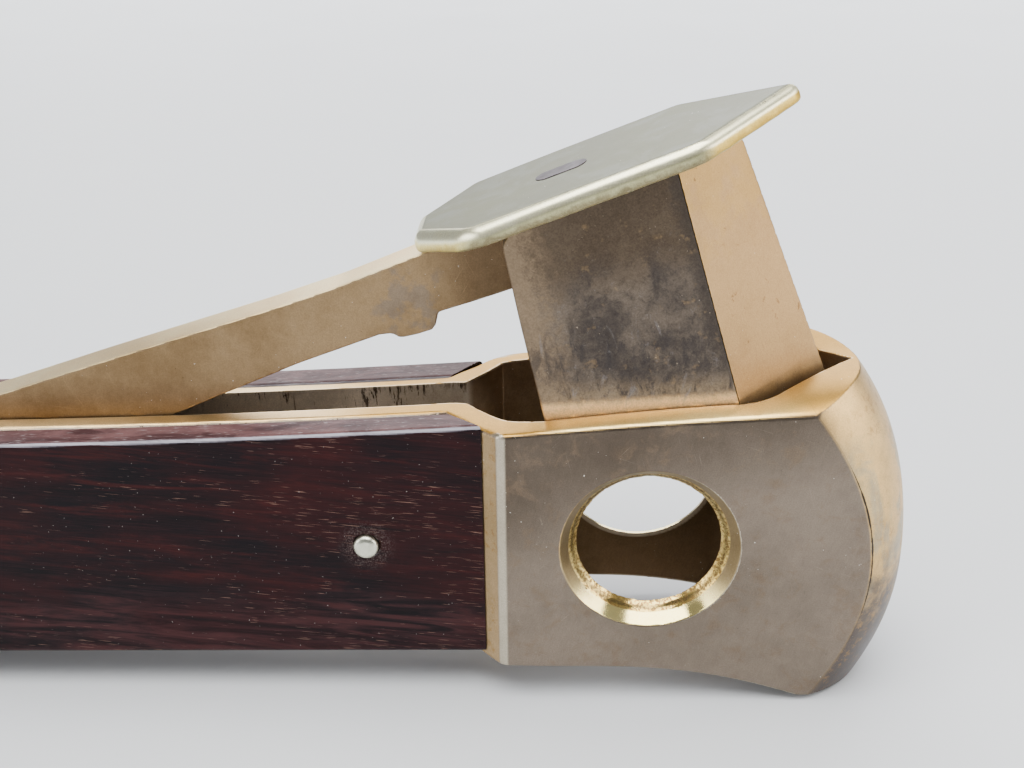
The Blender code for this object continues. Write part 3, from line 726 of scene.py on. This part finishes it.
def worked_metal(name, dark, light, zones, rough=0.42, pits=0.5, grime_and_shade=0.7, edge_wear_and_highlight=0.5, dull=None):
    """Nickel silver: satin, tarnished in clouds, speckled, scratched, pitted, bright on its edges from wear and
    painted highlight.

    zones is a list of (mask of a look, dark, light, roughness) laid over the first colour. The three numbers after
    rough say how strong the pits, the dirt and painted shade in crevices, and the worn edges with their painted
    highlight are. dull is the mask of what the edges' wear and painted highlight keep off.
    """
    look = Look(name, 0.92, rough)
    clouds = look.noise(11.0, 3.0, 0.5, 0.2)
    mottles = look.noise(1.3, 5.0, 0.65, 0.2)
    grain = look.noise(0.13, 3.0, 0.7)
    brushed = look.noise(0.11, 2.0, 0.6, 0.0, (1.5, 1.5, 14), 0.25)
    blend = look.band(look.plus(look.times(clouds, 0.72), look.times(mottles, 0.28)), 0.30, 0.70)
    look.colour = look.mix(blend, dark, light)
    roughness = look.band(clouds, 0.2, 0.8, rough - 0.04, rough + 0.05)
    for mask, low, high, coarse in zones:
        share = mask(look)
        look.coat(look.mix(blend, low, high), share)
        roughness = look.plus(roughness, look.times(share, coarse - rough))
    fine = look.times(look.band(grain, 0.3, 0.7, 0.88, 1.12), look.band(brushed, 0.3, 0.7, 0.97, 1.03))
    look.colour = look.mix(1.0, look.colour, look.grey(fine), "MULTIPLY")
    scratches = None
    for turn, shift in ((0.35, 0.1), (-0.8, 0.3), (1.3, 0.7)):
        line = look.band(look.noise(0.08, 1.0, 0.5, 0.3, (45, 2, 1), turn, (shift, 0, 0)), 0.735, 0.775)
        line = look.times(line, look.band(look.noise(5.0, 1.0, shift=(shift, 0, 0)), 0.48, 0.62))
        scratches = line if scratches is None else look.maths("MAXIMUM", scratches, line)
    look.coat(brighter(light, 1.8), scratches, 0.20)
    fleck = look.band(look.noise(0.26, 1.0, 0.5, shift=(0.5, 0.1, 0)), 0.775, 0.81)
    fleck = look.times(fleck, look.band(look.noise(6.0, 2.0, shift=(0.3, 0, 0)), 0.45, 0.6))
    look.coat(FLECK, fleck, 0.8)
    pit = look.band(look.noise(0.42, 2.5, 0.6, 0.2, shift=(0.02, 0.01, 0.0)), 0.275, 0.225)
    pit = look.times(pit, look.band(mottles, 0.60, 0.40), pits)
    look.coat(brighter(dark, 0.25), pit)
    # crevices made darker: dirt, and painted shade where less light reaches
    crevice = look.band(look.own("crevice"), 0.45, 0.95)
    crevice = look.times(crevice, look.band(mottles, 0.2, 0.6, 0.5, 1.0), grime_and_shade)
    look.coat(GRIME_AND_SHADE, crevice)
    # edges made bright: wear, and painted highlight
    edge = look.times(look.band(look.own("edge"), 0.55, 0.85), edge_wear_and_highlight)
    if dull:
        edge = look.times(edge, look.less(1.0, dull(look)))
    look.coat(WORN_EDGE_AND_HIGHLIGHT, edge)
    roughness = look.less(roughness, look.times(edge, 0.12))
    height = look.plus(look.times(grain, 0.25), look.times(brushed, 0.12))
    height = look.less(height, look.plus(pit, look.times(scratches, 0.3)))
    return look.wear(look.colour, roughness, look.bump(height, 0.012))


def zone(axis, low, high):
    """A mask that fades in as the surface turns towards an axis, or away from it."""
    return lambda look: look.faces(axis, low, high)


def flare_zone(look):
    """The slanting strip between the scales and the flat sides of the head."""
    return look.times(look.past(0, -15.0, -15.4), look.faces(2, 0.5, 0.3), look.faces(0, 0.1, -0.3))


def cone_zone(look):
    """The countersink of the near side's hole."""
    return look.times(look.band(look.reach(), RIM_R + 0.03, RIM_R - 0.05), look.side(0.92, 0.8))


def inner_zone(look):
    """The walls of the slot and of the head's hollow."""
    across = look.maths("ABSOLUTE", look.position(1))
    walls = look.times(look.band(across, INNER_HALF + 0.13, INNER_HALF + 0.04),
                       look.band(look.square_to(2), 0.75, 0.55))
    nose = look.times(look.past(0, 14.0, 16.0), look.faces(0, 0.15, 0.3))
    return look.times(walls, look.less(1.0, nose))


def deep_shade_zone(look):
    """Painted shade: the lower walls of the head's hollow, darker than those near its upper rim."""
    return look.times(inner_zone(look), look.past(2, 10.0, 5.0))


def slot_zone(look):
    """The walls of the narrow slot behind the head, greyer than the head's hollow."""
    return look.times(inner_zone(look), look.past(0, -18.0, -18.8))


def drip_zone(look):
    """Dark drips that run down the slot's walls from its upper edge."""
    length = look.band(look.noise(0.6, 5.0, 0.75, 0.4, (1, 1, 7)), 0.44, 0.76, 0.0, 5.5)
    level = look.plus(look.position(2), length)
    patchy = look.band(look.noise(5.0, 2.0, shift=(0.2, 0, 0)), 0.42, 0.58)
    return look.times(slot_zone(look), look.band(level, 12.6, 13.4), patchy)


def shade_zone(look):
    """Painted shade: darker high on the head's flat sides."""
    high = look.less(look.position(2), look.times(look.position(0), 0.35))
    return look.times(look.side(), look.band(high, 0.0, 13.0, 0.0, 0.9))


def stain_zone(look):
    """Faint brown stains on the head's flat sides."""
    stains = look.band(look.noise(2.4, 6.0, 0.68, 0.5, shift=(0.2, 0.7, 0)), 0.50, 0.68, 0.0, 0.6)
    return look.times(stains, look.side())


def rear_rim_zone(look):
    """The handle's upper rims, paler behind the lever."""
    return look.times(look.faces(2, 0.45, 0.85), look.past(0, -26.0, -36.0))


def near_rim_highlight_zone(look):
    """Painted highlight: the brightest part of the upper rim, along the near side of the head."""
    return look.times(look.past(0, -11.5, -8.5), look.past(0, 16.0, 8.0), look.past(1, -1.0, -5.0),
                      look.faces(2, 0.45, 0.85))


def nose_patch_zone(look):
    """Greenish grey patches in the nose's yellow."""
    patches = look.noise(3.6, 5.0, 0.62, 0.8, (1, 1, 1.6), 0.0, (0.3, 0.1, 0))
    return look.times(look.band(patches, 0.44, 0.62, 0.0, 0.85), look.faces(0, 0.25, 0.5),
                      look.past(2, 13.0, 9.0))


def nose_low_zone(look):
    """The lower end of the nose, dull and grey."""
    level = look.stray(look.position(2), look.noise(2.5, 5.0, 0.65, 0.4), 2.5)
    return look.times(look.faces(0, 0.20, 0.45), look.band(level, 0.5, -9.0))


def land_gold_zone(look):
    """The rough land inside the countersink."""
    behind_wall = look.past(1, -INNER_HALF + 0.02, -INNER_HALF - 0.08)
    return look.times(look.band(look.reach(), SINK_R + 0.02, SINK_R - 0.08), behind_wall)


def land_zone(look):
    """Brown specks on the rough land."""
    specks = look.band(look.noise(0.35, 4.0, 0.75, 0.4), 0.42, 0.60, 0.0, 0.95)
    return look.times(land_gold_zone(look), specks)


def cone_low_highlight_zone(look):
    """Painted highlight on the lower part of the countersink, the brightest."""
    return look.times(cone_zone(look), look.past(2, -3.0, -7.5))


def wedge_foot_stain_and_shade_zone(look):
    """The smudge along the foot of the carrier's wedge: a stain, and painted shade where the wedge goes down into
    the frame.
    """
    low = look.plus(look.position(2), look.times(look.position(0), 0.12))
    low = look.stray(low, look.noise(1.2, 4.0, 0.65), 0.7)
    return look.band(low, -5.0, -7.0, 0.0, 0.42)


def wedge_top_zone(look):
    """Yellowed patches below the thumb plate."""
    high = look.stray(look.position(2), look.noise(3.0, 4.0, 0.6), 5.0)
    return look.band(high, 8.0, 14.0, 0.0, 0.6)


def wedge_mark_zone(look):
    """Small brown marks scattered over the wedge."""
    marks = look.band(look.noise(0.75, 3.0, 0.6, 0.5, shift=(0.9, 0.3, 0)), 0.64, 0.72)
    crowds = look.band(look.noise(5.0, 2.0, shift=(0.6, 0, 0)), 0.44, 0.58, 0.15, 0.85)
    return look.times(marks, crowds)


def smudge_zone(look):
    """A bluish grey smudge beside the lever's lug."""
    far = look.stray(look.reach(-20.3, 8.3), look.noise(1.4, 4.0, 0.65), 2.2)
    return look.times(look.band(far, 3.4, 0.8, 0.0, 0.55), look.side())


def rim_zone(look):
    """Painted highlight on the rounded rim of the thumb plate's top."""
    return look.times(look.faces(2, 0.15, 0.40), look.faces(2, 0.975, 0.93))


def haze_zone(look):
    """Cooler, greyer clouds in the thumb plate's yellow top."""
    clouds = look.noise(4.5, 4.0, 0.6, 0.6, shift=(0.1, 0.4, 0))
    return look.times(look.band(clouds, 0.46, 0.66), 0.8)


def plate_foot_zone(look):
    """The dull rough underedge of the thumb plate's sides."""
    low = look.less(look.position(2), look.times(look.position(0), math.tan(PLATE_SLOPE)))
    low = look.stray(low, look.noise(0.8, 5.0, 0.7), 0.25)
    return look.times(look.side(0.5, 0.8), look.band(low, PLATE_Z + 0.95, PLATE_Z + 0.15))


def under_plate_shadow_zone(look):
    """Painted shadow of the thumb plate: the lever's sides darker below it."""
    return look.times(look.past(0, -20.0, -12.0, 0.0, 0.8), look.side())


def border_zone(look):
    """The thin dark line along the borders of the lever's sides."""
    return look.times(look.band(look.own("edge"), 0.70, 0.86), look.side(0.90, 0.98))


def spot_zone(look):
    """Small brown and golden stains on the nose and low on the flare."""
    spots = look.band(look.noise(0.9, 5.0, 0.75, 0.5, shift=(0.6, 0, 0)), 0.50, 0.66)
    places = look.maths("MAXIMUM", look.faces(0, 0.25, 0.45), flare_zone(look))
    return look.times(spots, places, look.band(look.noise(4.0, 2.0), 0.40, 0.56, 0.0, 0.7))


def roll_highlight_zone(look):
    """Painted highlight on the rounded turn between the flare and the flat side."""
    return look.times(look.faces(0, -0.10, -0.25), look.faces(0, -0.62, -0.5),
                      look.band(look.maths("ABSOLUTE", look.position(1)), 8.8, 9.2))


def arris_zone(look):
    """A fine dark line along the corner between the flat sides and the nose."""
    z = look.position(2)
    bow = look.times(look.maths("POWER", look.less(z, ARRIS_Z), 2.0), -ARRIS_BOW)
    off = look.less(look.less(look.position(0), bow), ARRIS_X + 0.25)
    ends = look.times(look.band(z, -8.5, -4.0), look.band(z, 10.5, 6.0))
    width = look.times(ends, look.band(look.noise(0.9, 3.0, 0.6), 0.3, 0.7, 0.05, 0.12))
    line = look.band(look.less(look.maths("ABSOLUTE", off), width), 0.04, -0.04)
    return look.times(line, look.side(0.2, 0.4))


def rosewood(name):
    """Dark oiled wood; its grain runs along the handle and falls a little towards the head."""
    look = Look(name, 0.0, 0.35)
    tilt = 0.09
    clouds = look.noise(8.0, 4.0, 0.55, 0.6, (2.6, 1, 1), 0.05, (0.04, 0, 0.01))
    bands = look.noise(1.3, 8.0, 0.70, 0.8, (11, 2, 1), tilt)
    fibre = look.noise(0.09, 2.0, 0.6, 0.0, (45, 2, 1), tilt)
    look.colour = look.mix(look.band(clouds, 0.38, 0.62), (0.0040, 0.0020, 0.0036), (0.019, 0.0030, 0.0038))
    look.coat((0.050, 0.0070, 0.0062), look.band(bands, 0.50, 0.70), 0.60)
    look.coat((0.0026, 0.0013, 0.0022), look.band(bands, 0.50, 0.32), 0.85)
    look.coat((0.070, 0.022, 0.022), look.band(fibre, 0.45, 0.75), 0.16)
    level = look.stray(look.position(2), clouds, 3.0, 0.2)
    worn = look.band(level, -5.0, -11.0, 0.0, 0.45)
    look.coat((0.075, 0.027, 0.028), worn, look.band(bands, 0.40, 0.62))
    group = look.band(look.noise(7.0, 2.0, 0.5, 0.0, (3, 1, 1), tilt, (0.2, 0, 0)), 0.35, 0.7, -0.05, 0.05)
    towards_head = look.plus(look.past(0, -70.0, -18.0, 0.0, 0.03), group)
    towards_head = look.plus(towards_head, look.past(2, 0.0, -9.0, 0.0, 0.02))
    pores = look.noise(0.075, 1.5, 0.5, 0.2, (34, 3, 1), tilt, (0.01, 0.02, 0.03))
    pores = look.band(look.plus(pores, towards_head), 0.705, 0.765)
    look.coat((0.36, 0.20, 0.15), pores, 0.62)
    dust = None
    for x, z in PINS.values():
        ring = look.band(look.reach(x, z), 3.4, 1.4)
        dust = ring if dust is None else look.maths("MAXIMUM", dust, ring)
    speck = look.band(look.noise(0.14, 2.0, 0.6), 0.45, 0.7)
    look.coat((0.16, 0.12, 0.11), dust, speck, 0.55)
    fleck = look.band(look.noise(0.22, 1.0, 0.5, shift=(0.7, 0.1, 0)), 0.79, 0.82)
    look.coat((0.5, 0.45, 0.42), fleck, 0.7)
    above = look.times(look.faces(2, 0.25, 0.7), 0.75)
    dusty = look.band(look.noise(0.10, 2.0, 0.7, 0.2, (16, 2, 1), 0.0), 0.58, 0.74)
    # painted sheen: the top faces lighter than the sides; the dust on them comes after
    top_sheen = look.mix(look.band(bands, 0.36, 0.62), (0.045, 0.020, 0.023), (0.150, 0.078, 0.080))
    look.coat(top_sheen, above)
    look.coat((0.42, 0.37, 0.38), above, dusty, 0.6)
    # painted highlight along the wood's rounded top edge, bluish white
    rim = look.times(look.faces(2, 0.20, 0.60), look.faces(2, 0.95, 0.75),
                     look.side(0.15, 0.35), look.band(bands, 0.3, 0.6, 0.35, 0.8))
    look.coat((0.42, 0.42, 0.48), rim)
    roughness = look.plus(look.band(fibre, 0.3, 0.7, 0.30, 0.42), look.times(pores, 0.2))
    height = look.less(look.times(fibre, 0.35), pores)
    look.shader.inputs["Specular IOR Level"].default_value = 0.12
    return look.wear(look.colour, roughness, look.bump(height, 0.02))


def blade_steel(name):
    """Dark stained steel, smeared towards its edge, with a bright strip along the edge: rubbed, and a painted
    reflection of the frame's tan rim.
    """
    look = Look(name, 0.88, 0.42)
    clouds = look.noise(4.0, 6.0, 0.62, 0.5, (1, 1, 1.2))
    spots = look.noise(0.8, 5.0, 0.7, 0.5)
    grain = look.noise(0.17, 3.0, 0.65)
    streaks = look.noise(0.9, 5.0, 0.68, 0.7, (1, 1, 2.4), 0.08)
    across = look.less(look.position(0), look.times(look.position(2), -0.075))
    look.colour = look.mix(look.band(clouds, 0.36, 0.64), (0.062, 0.050, 0.042), (0.140, 0.110, 0.083))
    look.coat((0.036, 0.030, 0.028), look.band(spots, 0.52, 0.30), 0.55)
    look.coat((0.23, 0.205, 0.195), look.band(spots, 0.60, 0.74), 0.5)
    # painted shadow of the thumb plate: darker near the blade's top
    high = look.stray(look.position(2), clouds, 1.5, 0.2)
    look.coat((0.075, 0.052, 0.032), look.band(high, 6.0, 10.5), 0.75)
    tan = look.band(look.stray(look.position(0), spots, 1.5, 0.2), -5.0, -9.0)
    look.coat((0.24, 0.172, 0.108), tan, 0.8)
    level = look.plus(look.position(2), look.times(look.position(0), 0.155))
    low = look.stray(level, streaks, 1.6, 0.2)
    smear = look.times(look.band(low, 4.5, -1.0), look.band(streaks, 0.64, 0.34))
    look.coat((0.034, 0.030, 0.031), smear, 0.65)
    # a rubbed, cleaner strip low on the blade, its tan also a painted reflection of the frame's rim
    worn = look.times(look.band(low, -1.8, -4.2), look.band(streaks, 0.30, 0.70))
    look.coat((0.33, 0.24, 0.145), worn, 0.75)
    beside = look.band(look.stray(across, spots, 0.7, 0.2), 6.6, 8.2)
    beside = look.times(beside, look.past(2, -6.0, 0.0, 0.0, 0.7))
    look.coat((0.045, 0.036, 0.030), beside)
    # painted reflection of the frame's tan rim: a bright band along the foot
    line = look.stray(level, streaks, 0.30, 0.2)
    look.coat((0.88, 0.57, 0.27), look.band(line, -4.3, -5.3), 0.92)
    fleck = look.band(look.noise(0.36, 2.0, 0.6, 0.0, shift=(0.4, 0.1, 0)), 0.70, 0.78)
    fleck = look.times(fleck, look.band(look.noise(3.0, 2.0, shift=(0.3, 0, 0)), 0.42, 0.60))
    look.coat((0.50, 0.41, 0.30), fleck, 0.55)
    gold = look.band(look.noise(1.3, 3.0, 0.6, 0.0, shift=(0.15, 0.2, 0.1)), 0.62, 0.76)
    look.coat((0.32, 0.21, 0.10), gold, 0.3)
    pale = look.band(look.noise(1.5, 5.0, 0.7, 0.8, (1, 1, 2.2), 0.1, (0.5, 0, 0)), 0.58, 0.74)
    pale = look.times(pale, look.band(low, 6.0, 2.0))
    look.coat((0.20, 0.185, 0.185), pale, 0.55)
    fine = look.band(grain, 0.3, 0.7, 0.85, 1.15)
    look.colour = look.mix(1.0, look.colour, look.grey(fine), "MULTIPLY")
    chips = look.band(look.noise(0.5, 3.0, 0.7), 0.45, 0.62)
    away_from_seam = look.band(across, 5.5, 2.0)
    edge = look.times(look.band(look.own("edge"), 0.60, 0.85), chips, 0.45, away_from_seam)
    look.coat((0.62, 0.47, 0.30), edge)
    roughness = look.band(spots, 0.2, 0.8, 0.50, 0.36)
    height = look.plus(look.times(grain, 0.4), spots)
    return look.wear(look.colour, roughness, look.bump(height, 0.012))


def plain_metal(name, dark, light, rough):
    """Small metal pieces: a mottled colour and a slightly uneven face."""
    look = Look(name, 1.0, rough)
    clouds = look.noise(1.5, 5.0, 0.6, 0.3)
    colour = look.mix(look.band(clouds, 0.3, 0.7), dark, light)
    scored = look.noise(0.12, 2.0, 0.6, 0.0, (12, 12, 1), 0.6)
    height = look.plus(look.times(scored, 0.4), clouds)
    roughness = look.band(clouds, 0.2, 0.8, rough + 0.08, rough - 0.05)
    return look.wear(colour, roughness, look.bump(height, 0.015))


TAN = ((0.45, 0.245, 0.045), (0.60, 0.345, 0.075))
frame_look = worked_metal("frame_nickel_silver", (0.160, 0.128, 0.099), (0.235, 0.188, 0.146), (
    (shade_zone, (0.076, 0.058, 0.042), (0.112, 0.087, 0.066), 0.42),
    (stain_zone, (0.155, 0.108, 0.070), (0.205, 0.148, 0.100), 0.46),
    (zone(2, 0.45, 0.85), *TAN, 0.38),
    (rear_rim_zone, (0.66, 0.450, 0.200), (0.86, 0.620, 0.310), 0.40),
    (near_rim_highlight_zone, (0.94, 0.650, 0.230), (1.00, 0.800, 0.360), 0.36),
    (zone(0, 0.22, 0.50), (0.43, 0.272, 0.100), (0.73, 0.480, 0.190), 0.36),
    (nose_patch_zone, (0.27, 0.218, 0.135), (0.42, 0.350, 0.225), 0.38),
    (nose_low_zone, (0.060, 0.046, 0.040), (0.105, 0.084, 0.070), 0.44),
    (flare_zone, (0.38, 0.262, 0.130), (0.50, 0.360, 0.200), 0.55),
    (roll_highlight_zone, (0.40, 0.350, 0.265), (0.50, 0.445, 0.345), 0.34),
    (spot_zone, (0.30, 0.160, 0.045), (0.44, 0.260, 0.090), 0.5),
    (cone_zone, (0.30, 0.220, 0.112), (0.43, 0.322, 0.175), 0.40),
    (cone_low_highlight_zone, (0.98, 0.780, 0.300), (1.00, 0.880, 0.420), 0.26),
    (land_gold_zone, (0.80, 0.540, 0.140), (1.00, 0.800, 0.320), 0.36),
    (land_zone, (0.20, 0.110, 0.030), (0.34, 0.200, 0.070), 0.6),
    (inner_zone, (0.165, 0.105, 0.055), (0.30, 0.200, 0.115), 0.55),
    (deep_shade_zone, (0.135, 0.083, 0.037), (0.24, 0.152, 0.078), 0.55),
    (slot_zone, (0.41, 0.345, 0.270), (0.68, 0.590, 0.480), 0.48),
    (drip_zone, (0.080, 0.056, 0.038), (0.12, 0.086, 0.060), 0.6),
    (arris_zone, (0.030, 0.022, 0.018), (0.045, 0.034, 0.026), 0.6)), dull=land_gold_zone)
lever_look = worked_metal("lever_nickel_silver", (0.20, 0.127, 0.060), (0.33, 0.225, 0.120), (
    (smudge_zone, (0.13, 0.108, 0.092), (0.20, 0.168, 0.142), 0.48),
    (under_plate_shadow_zone, (0.060, 0.036, 0.018), (0.110, 0.070, 0.038), 0.48),
    (border_zone, (0.045, 0.030, 0.018), (0.080, 0.055, 0.034), 0.5),
    (zone(2, 0.45, 0.85), (0.95, 0.680, 0.330), (1.00, 0.820, 0.480), 0.36)), 0.46, 0.8, 0.7, 0.1)
carrier_look = worked_metal("carrier_nickel_silver", (0.340, 0.206, 0.085), (0.430, 0.272, 0.120), (
    (wedge_top_zone, (0.38, 0.230, 0.062), (0.45, 0.280, 0.096), 0.48),
    (wedge_mark_zone, (0.17, 0.085, 0.028), (0.26, 0.140, 0.055), 0.55),
    (wedge_foot_stain_and_shade_zone, (0.115, 0.080, 0.052), (0.20, 0.140, 0.090), 0.55)), 0.48, 1.0, 0.7, 0.0)
plate_look = worked_metal("plate_nickel_silver", (0.104, 0.104, 0.052), (0.145, 0.146, 0.080), (
    (haze_zone, (0.126, 0.130, 0.090), (0.167, 0.172, 0.124), 0.34),
    (zone(2, 0.90, 0.78), (0.40, 0.375, 0.195), (0.60, 0.570, 0.350), 0.38),
    (plate_foot_zone, (0.19, 0.160, 0.085), (0.34, 0.290, 0.160), 0.50),
    (zone(0, 0.30, 0.80), (0.46, 0.290, 0.030), (0.70, 0.480, 0.080), 0.42),
    (zone(0, -0.30, -0.80), (0.86, 0.680, 0.160), (1.00, 0.920, 0.500), 0.34),
    (rim_zone, (0.94, 0.880, 0.560), (1.00, 0.960, 0.720), 0.30)), 0.36, 0.3, 0.4, 0.3)
wood_look = rosewood("rosewood")
steel_look = blade_steel("blade_steel")
pin_look = plain_metal("pin_nickel_silver", (0.56, 0.56, 0.44), (0.74, 0.73, 0.60), 0.3)
tenon_look = plain_metal("tenon_steel", (0.075, 0.062, 0.070), (0.115, 0.097, 0.105), 0.45)
dark_steel = plain_metal("spring_steel", (0.10, 0.10, 0.12), (0.17, 0.17, 0.19), 0.35)


# ---- pieces

COARSE = 1.0
FINE = 0.30 * COARSE
SEAM_RUN = (6.9, 9.4, 0.1)


def spaced(low, high, step):
    return np.linspace(low, high, max(int(round((high - low) / step)), 2) + 1)


def runs(*stretches):
    """Places along an axis, in stretches of (low, high, step) that follow each other."""
    parts = [spaced(*stretch) for stretch in stretches]
    return np.concatenate([parts[0]] + [part[1:] for part in parts[1:]])


frame_grid = (runs((-104.6, -96.0, 0.5), (-96.0, -22.5, 1.5), (-22.5, 28.0, FINE)),
              spaced(-10.3, 10.3, 0.25 * COARSE), spaced(-18.7, 17.8, FINE))
skin("frame_casting", frame_field, frame_grid, IN_FRAME, frame_look, "frame", ["frame_body"])

scale_xs = runs((-104.2, -96.0, 0.4), (-96.0, -22.0, 0.8), (-22.0, -14.0, 0.3))
for name, sign in (("near_scale", -1), ("far_scale", 1)):
    grid = (scale_xs, np.sort(sign * spaced(3.9, 8.8, 0.2)), spaced(-15.0, 14.0, 0.3))
    skin(name + "_wood", scale_field(sign), grid, IN_FRAME, wood_look, "frame", [name])

lever_grid = (runs((-101.0, -86.0, 0.3), (-86.0, -25.0, 0.8), (-25.0, 5.6, 0.3)),
              spaced(-2.8, 2.8, 0.2), spaced(-5.0, 17.0, 0.25))
skin("lever", lever_field, lever_grid, IN_LEVER, lever_look, "lever", ["lever_bar"])

carrier_grid = (runs((-9.6, 6.9, 0.3), SEAM_RUN, (9.4, 20.0, 0.24)), spaced(-7.7, 7.7, 0.2),
                spaced(-11.2, 18.6, 0.3))
skin("carrier", carrier_field, carrier_grid, IN_LEVER, carrier_look, "lever",
     ["blade_carrier", "carrier_rivet_1", "carrier_rivet_2"])

blade_xs = runs((-10.3, 6.9, 0.27), SEAM_RUN, (9.4, 10.2, 0.3))
for name, sign in (("near_blade", -1), ("far_blade", 1)):
    grid = (blade_xs, np.sort(sign * spaced(5.0, 7.8, 0.15)), spaced(-12.6, 17.4, 0.3))
    skin(name + "_steel", blade_field(sign), grid, IN_LEVER, steel_look, "lever", [name])

plate_grid = (spaced(-19.6, 20.6, 0.22), spaced(-9.7, 9.7, 0.22), spaced(12.0, 21.0, 0.22))
skin("thumb_piece", plate_field, plate_grid, IN_LEVER, plate_look, "lever", ["thumb_plate"])

tenon_grid = (spaced(-6.5, 0.8, 0.12), spaced(-1.6, 1.6, 0.12), spaced(14.0, 18.4, 0.12))
skin("thumb_tenon_top", tenon_field, tenon_grid, IN_LEVER, tenon_look, "lever",
     ["thumb_tenon"])


# a pin's rounded end, from its middle outwards: parts of its radius, and millimetres below its top
PIN_END = [(0.30, 0.0), (0.60, 0.01), (0.66, 0.05), (0.80, 0.11), (0.93, 0.26), (0.99, 0.45), (1.0, 0.6)]


def pin(name, radius, x, z):
    """A pin through both scales: its profile of (radius, place along Y), turned about Y through x and z."""
    top = SCALE_HALF + PIN_PROUD
    half = [(radius * part, top - below) for part, below in PIN_END]
    profile = half + [(r, -h) for r, h in reversed(half)]
    mesh = bpy.data.meshes.new(name + "_turned")
    steps = 64
    verts, faces = [], []
    for r, h in profile:
        verts += [((x + r * math.cos(a)) * MM, h * MM, (z + r * math.sin(a)) * MM)
                  for a in (2 * math.pi * k / steps for k in range(steps))]
    for row in range(len(profile) - 1):
        for k in range(steps):
            n = (k + 1) % steps
            a, b = row * steps, (row + 1) * steps
            faces.append((a + k, b + k, b + n, a + n))
    faces.append(tuple(range(steps)))
    faces.append(tuple(reversed(range(len(verts) - steps, len(verts)))))
    mesh.from_pydata(verts, [], faces)
    mesh.validate()
    mesh.shade_smooth()
    mesh.set_sharp_from_angle(angle=math.radians(30))
    settle(name + "_turned", mesh, IN_FRAME, pin_look, "frame", [name])


for name, (x, z) in PINS.items():
    pin(name, PIN_R, x, z)
pin("pivot_pin", PIVOT_R, PIVOT_X, PIVOT_Z)

leaf = put("leaf", frame["nodes"]["leaf_spring"].data.copy())
plain_nodes = frame["nodes"]["rear_spacer"], frame["nodes"]["spring_rivet"], leaf
for node, look in zip(plain_nodes, (frame_look, dark_steel, dark_steel)):
    node.data.materials.clear()
    node.data.materials.append(look)

soften = leaf.modifiers.new("edges", "BEVEL")
soften.width = 0.12 * MM
soften.segments = 2
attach(leaf, "frame")
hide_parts("leaf_spring")
low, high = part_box("leaf_spring")
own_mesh(leaf)


# ---- floor, lights, camera, in metres

FLOOR_LIT = 0.85
FLOOR_GLOW = 1.6
FLOOR_HALF = 12.0


def floor():
    """A plain floor; far from the lamps it glows as much as the lamps' light has faded there."""
    look = Look("pale_floor", 0.0, 0.6)
    clouds = look.noise(60.0, 3.0)
    colour = look.mix(clouds, (0.60, 0.62, 0.65), (0.66, 0.68, 0.71))
    away = look.add("ShaderNodeVectorMath", {0: look.place.outputs["Object"]}, operation="LENGTH")
    fall = look.plus(look.maths("POWER", look.maths("DIVIDE", away.outputs["Value"], FLOOR_LIT), 2.0), 1.0)
    glow = look.times(look.less(1.0, look.maths("POWER", fall, -2.0)), FLOOR_GLOW)
    look.tree.links.new(glow, look.shader.inputs["Emission Strength"])
    look.shader.inputs["Emission Color"].default_value = (0.94, 0.97, 1.0, 1.0)
    mesh = bpy.data.meshes.new("floor")
    r = FLOOR_HALF
    mesh.from_pydata([(-r, -r, 0), (r, -r, 0), (r, r, 0), (-r, r, 0)], [], [(0, 1, 2, 3)])
    mesh.materials.append(look.wear(colour, look.band(clouds, 0.2, 0.8, 0.5, 0.65), look.bump(clouds, 0.01)))
    ground = put("floor", mesh)


def softbox(name, at, width, height, watts, colour):
    """A rectangular lamp that looks at the guide hole."""
    lamp = bpy.data.lights.new(name, "AREA")
    lamp.shape = "RECTANGLE"
    lamp.size = width
    lamp.size_y = height
    lamp.energy = watts
    lamp.color = colour
    aim = (HOLE - Vector(at)).to_track_quat("-Z", "Y").to_matrix().to_4x4()
    put(name, lamp).matrix_world = Matrix.Translation(at) @ aim


floor()
softbox("sky", (0.0, -0.10, 0.80), 0.9, 0.80, 17.0, (1.0, 0.99, 0.96))
softbox("window", (0.10, 1.00, 0.56), 1.3, 0.60, 11.0, (0.98, 0.98, 1.0))
softbox("right", (0.80, -0.10, 0.32), 0.7, 0.45, 6.0, (1.0, 0.97, 0.93))
softbox("left", (-0.75, -0.35, 0.30), 0.5, 0.4, 3.0, (0.97, 0.98, 1.0))

world = bpy.data.worlds.new("studio")
world.use_nodes = True
world.node_tree.nodes["Background"].inputs[0].default_value = (0.80, 0.85, 0.92, 1.0)
world.node_tree.nodes["Background"].inputs[1].default_value = 0.25
bpy.context.scene.world = world

# the photograph's camera: where it is from the hole in millimetres, and its right and up directions
CAMERA_AT = Vector((-10.00, -112.19, 64.49))
CAMERA_RIGHT = Vector((0.9995, 0.0292, -0.0116))
CAMERA_UP = Vector((-0.0015, 0.4118, 0.9113))
LENS_MM = 42.2
SENSOR_MM = 36.0

lens = bpy.data.cameras.new("view")
lens.sensor_width = SENSOR_MM
lens.lens = LENS_MM
lens.clip_start = 0.01
camera = put("view", lens)
back = CAMERA_RIGHT.cross(CAMERA_UP).normalized()
up = back.cross(CAMERA_RIGHT).normalized()
turn = Matrix((CAMERA_RIGHT.normalized(), up, back)).transposed().to_4x4()
camera.matrix_world = Matrix.Translation(HOLE + CAMERA_AT * MM) @ turn
bpy.context.scene.camera = camera
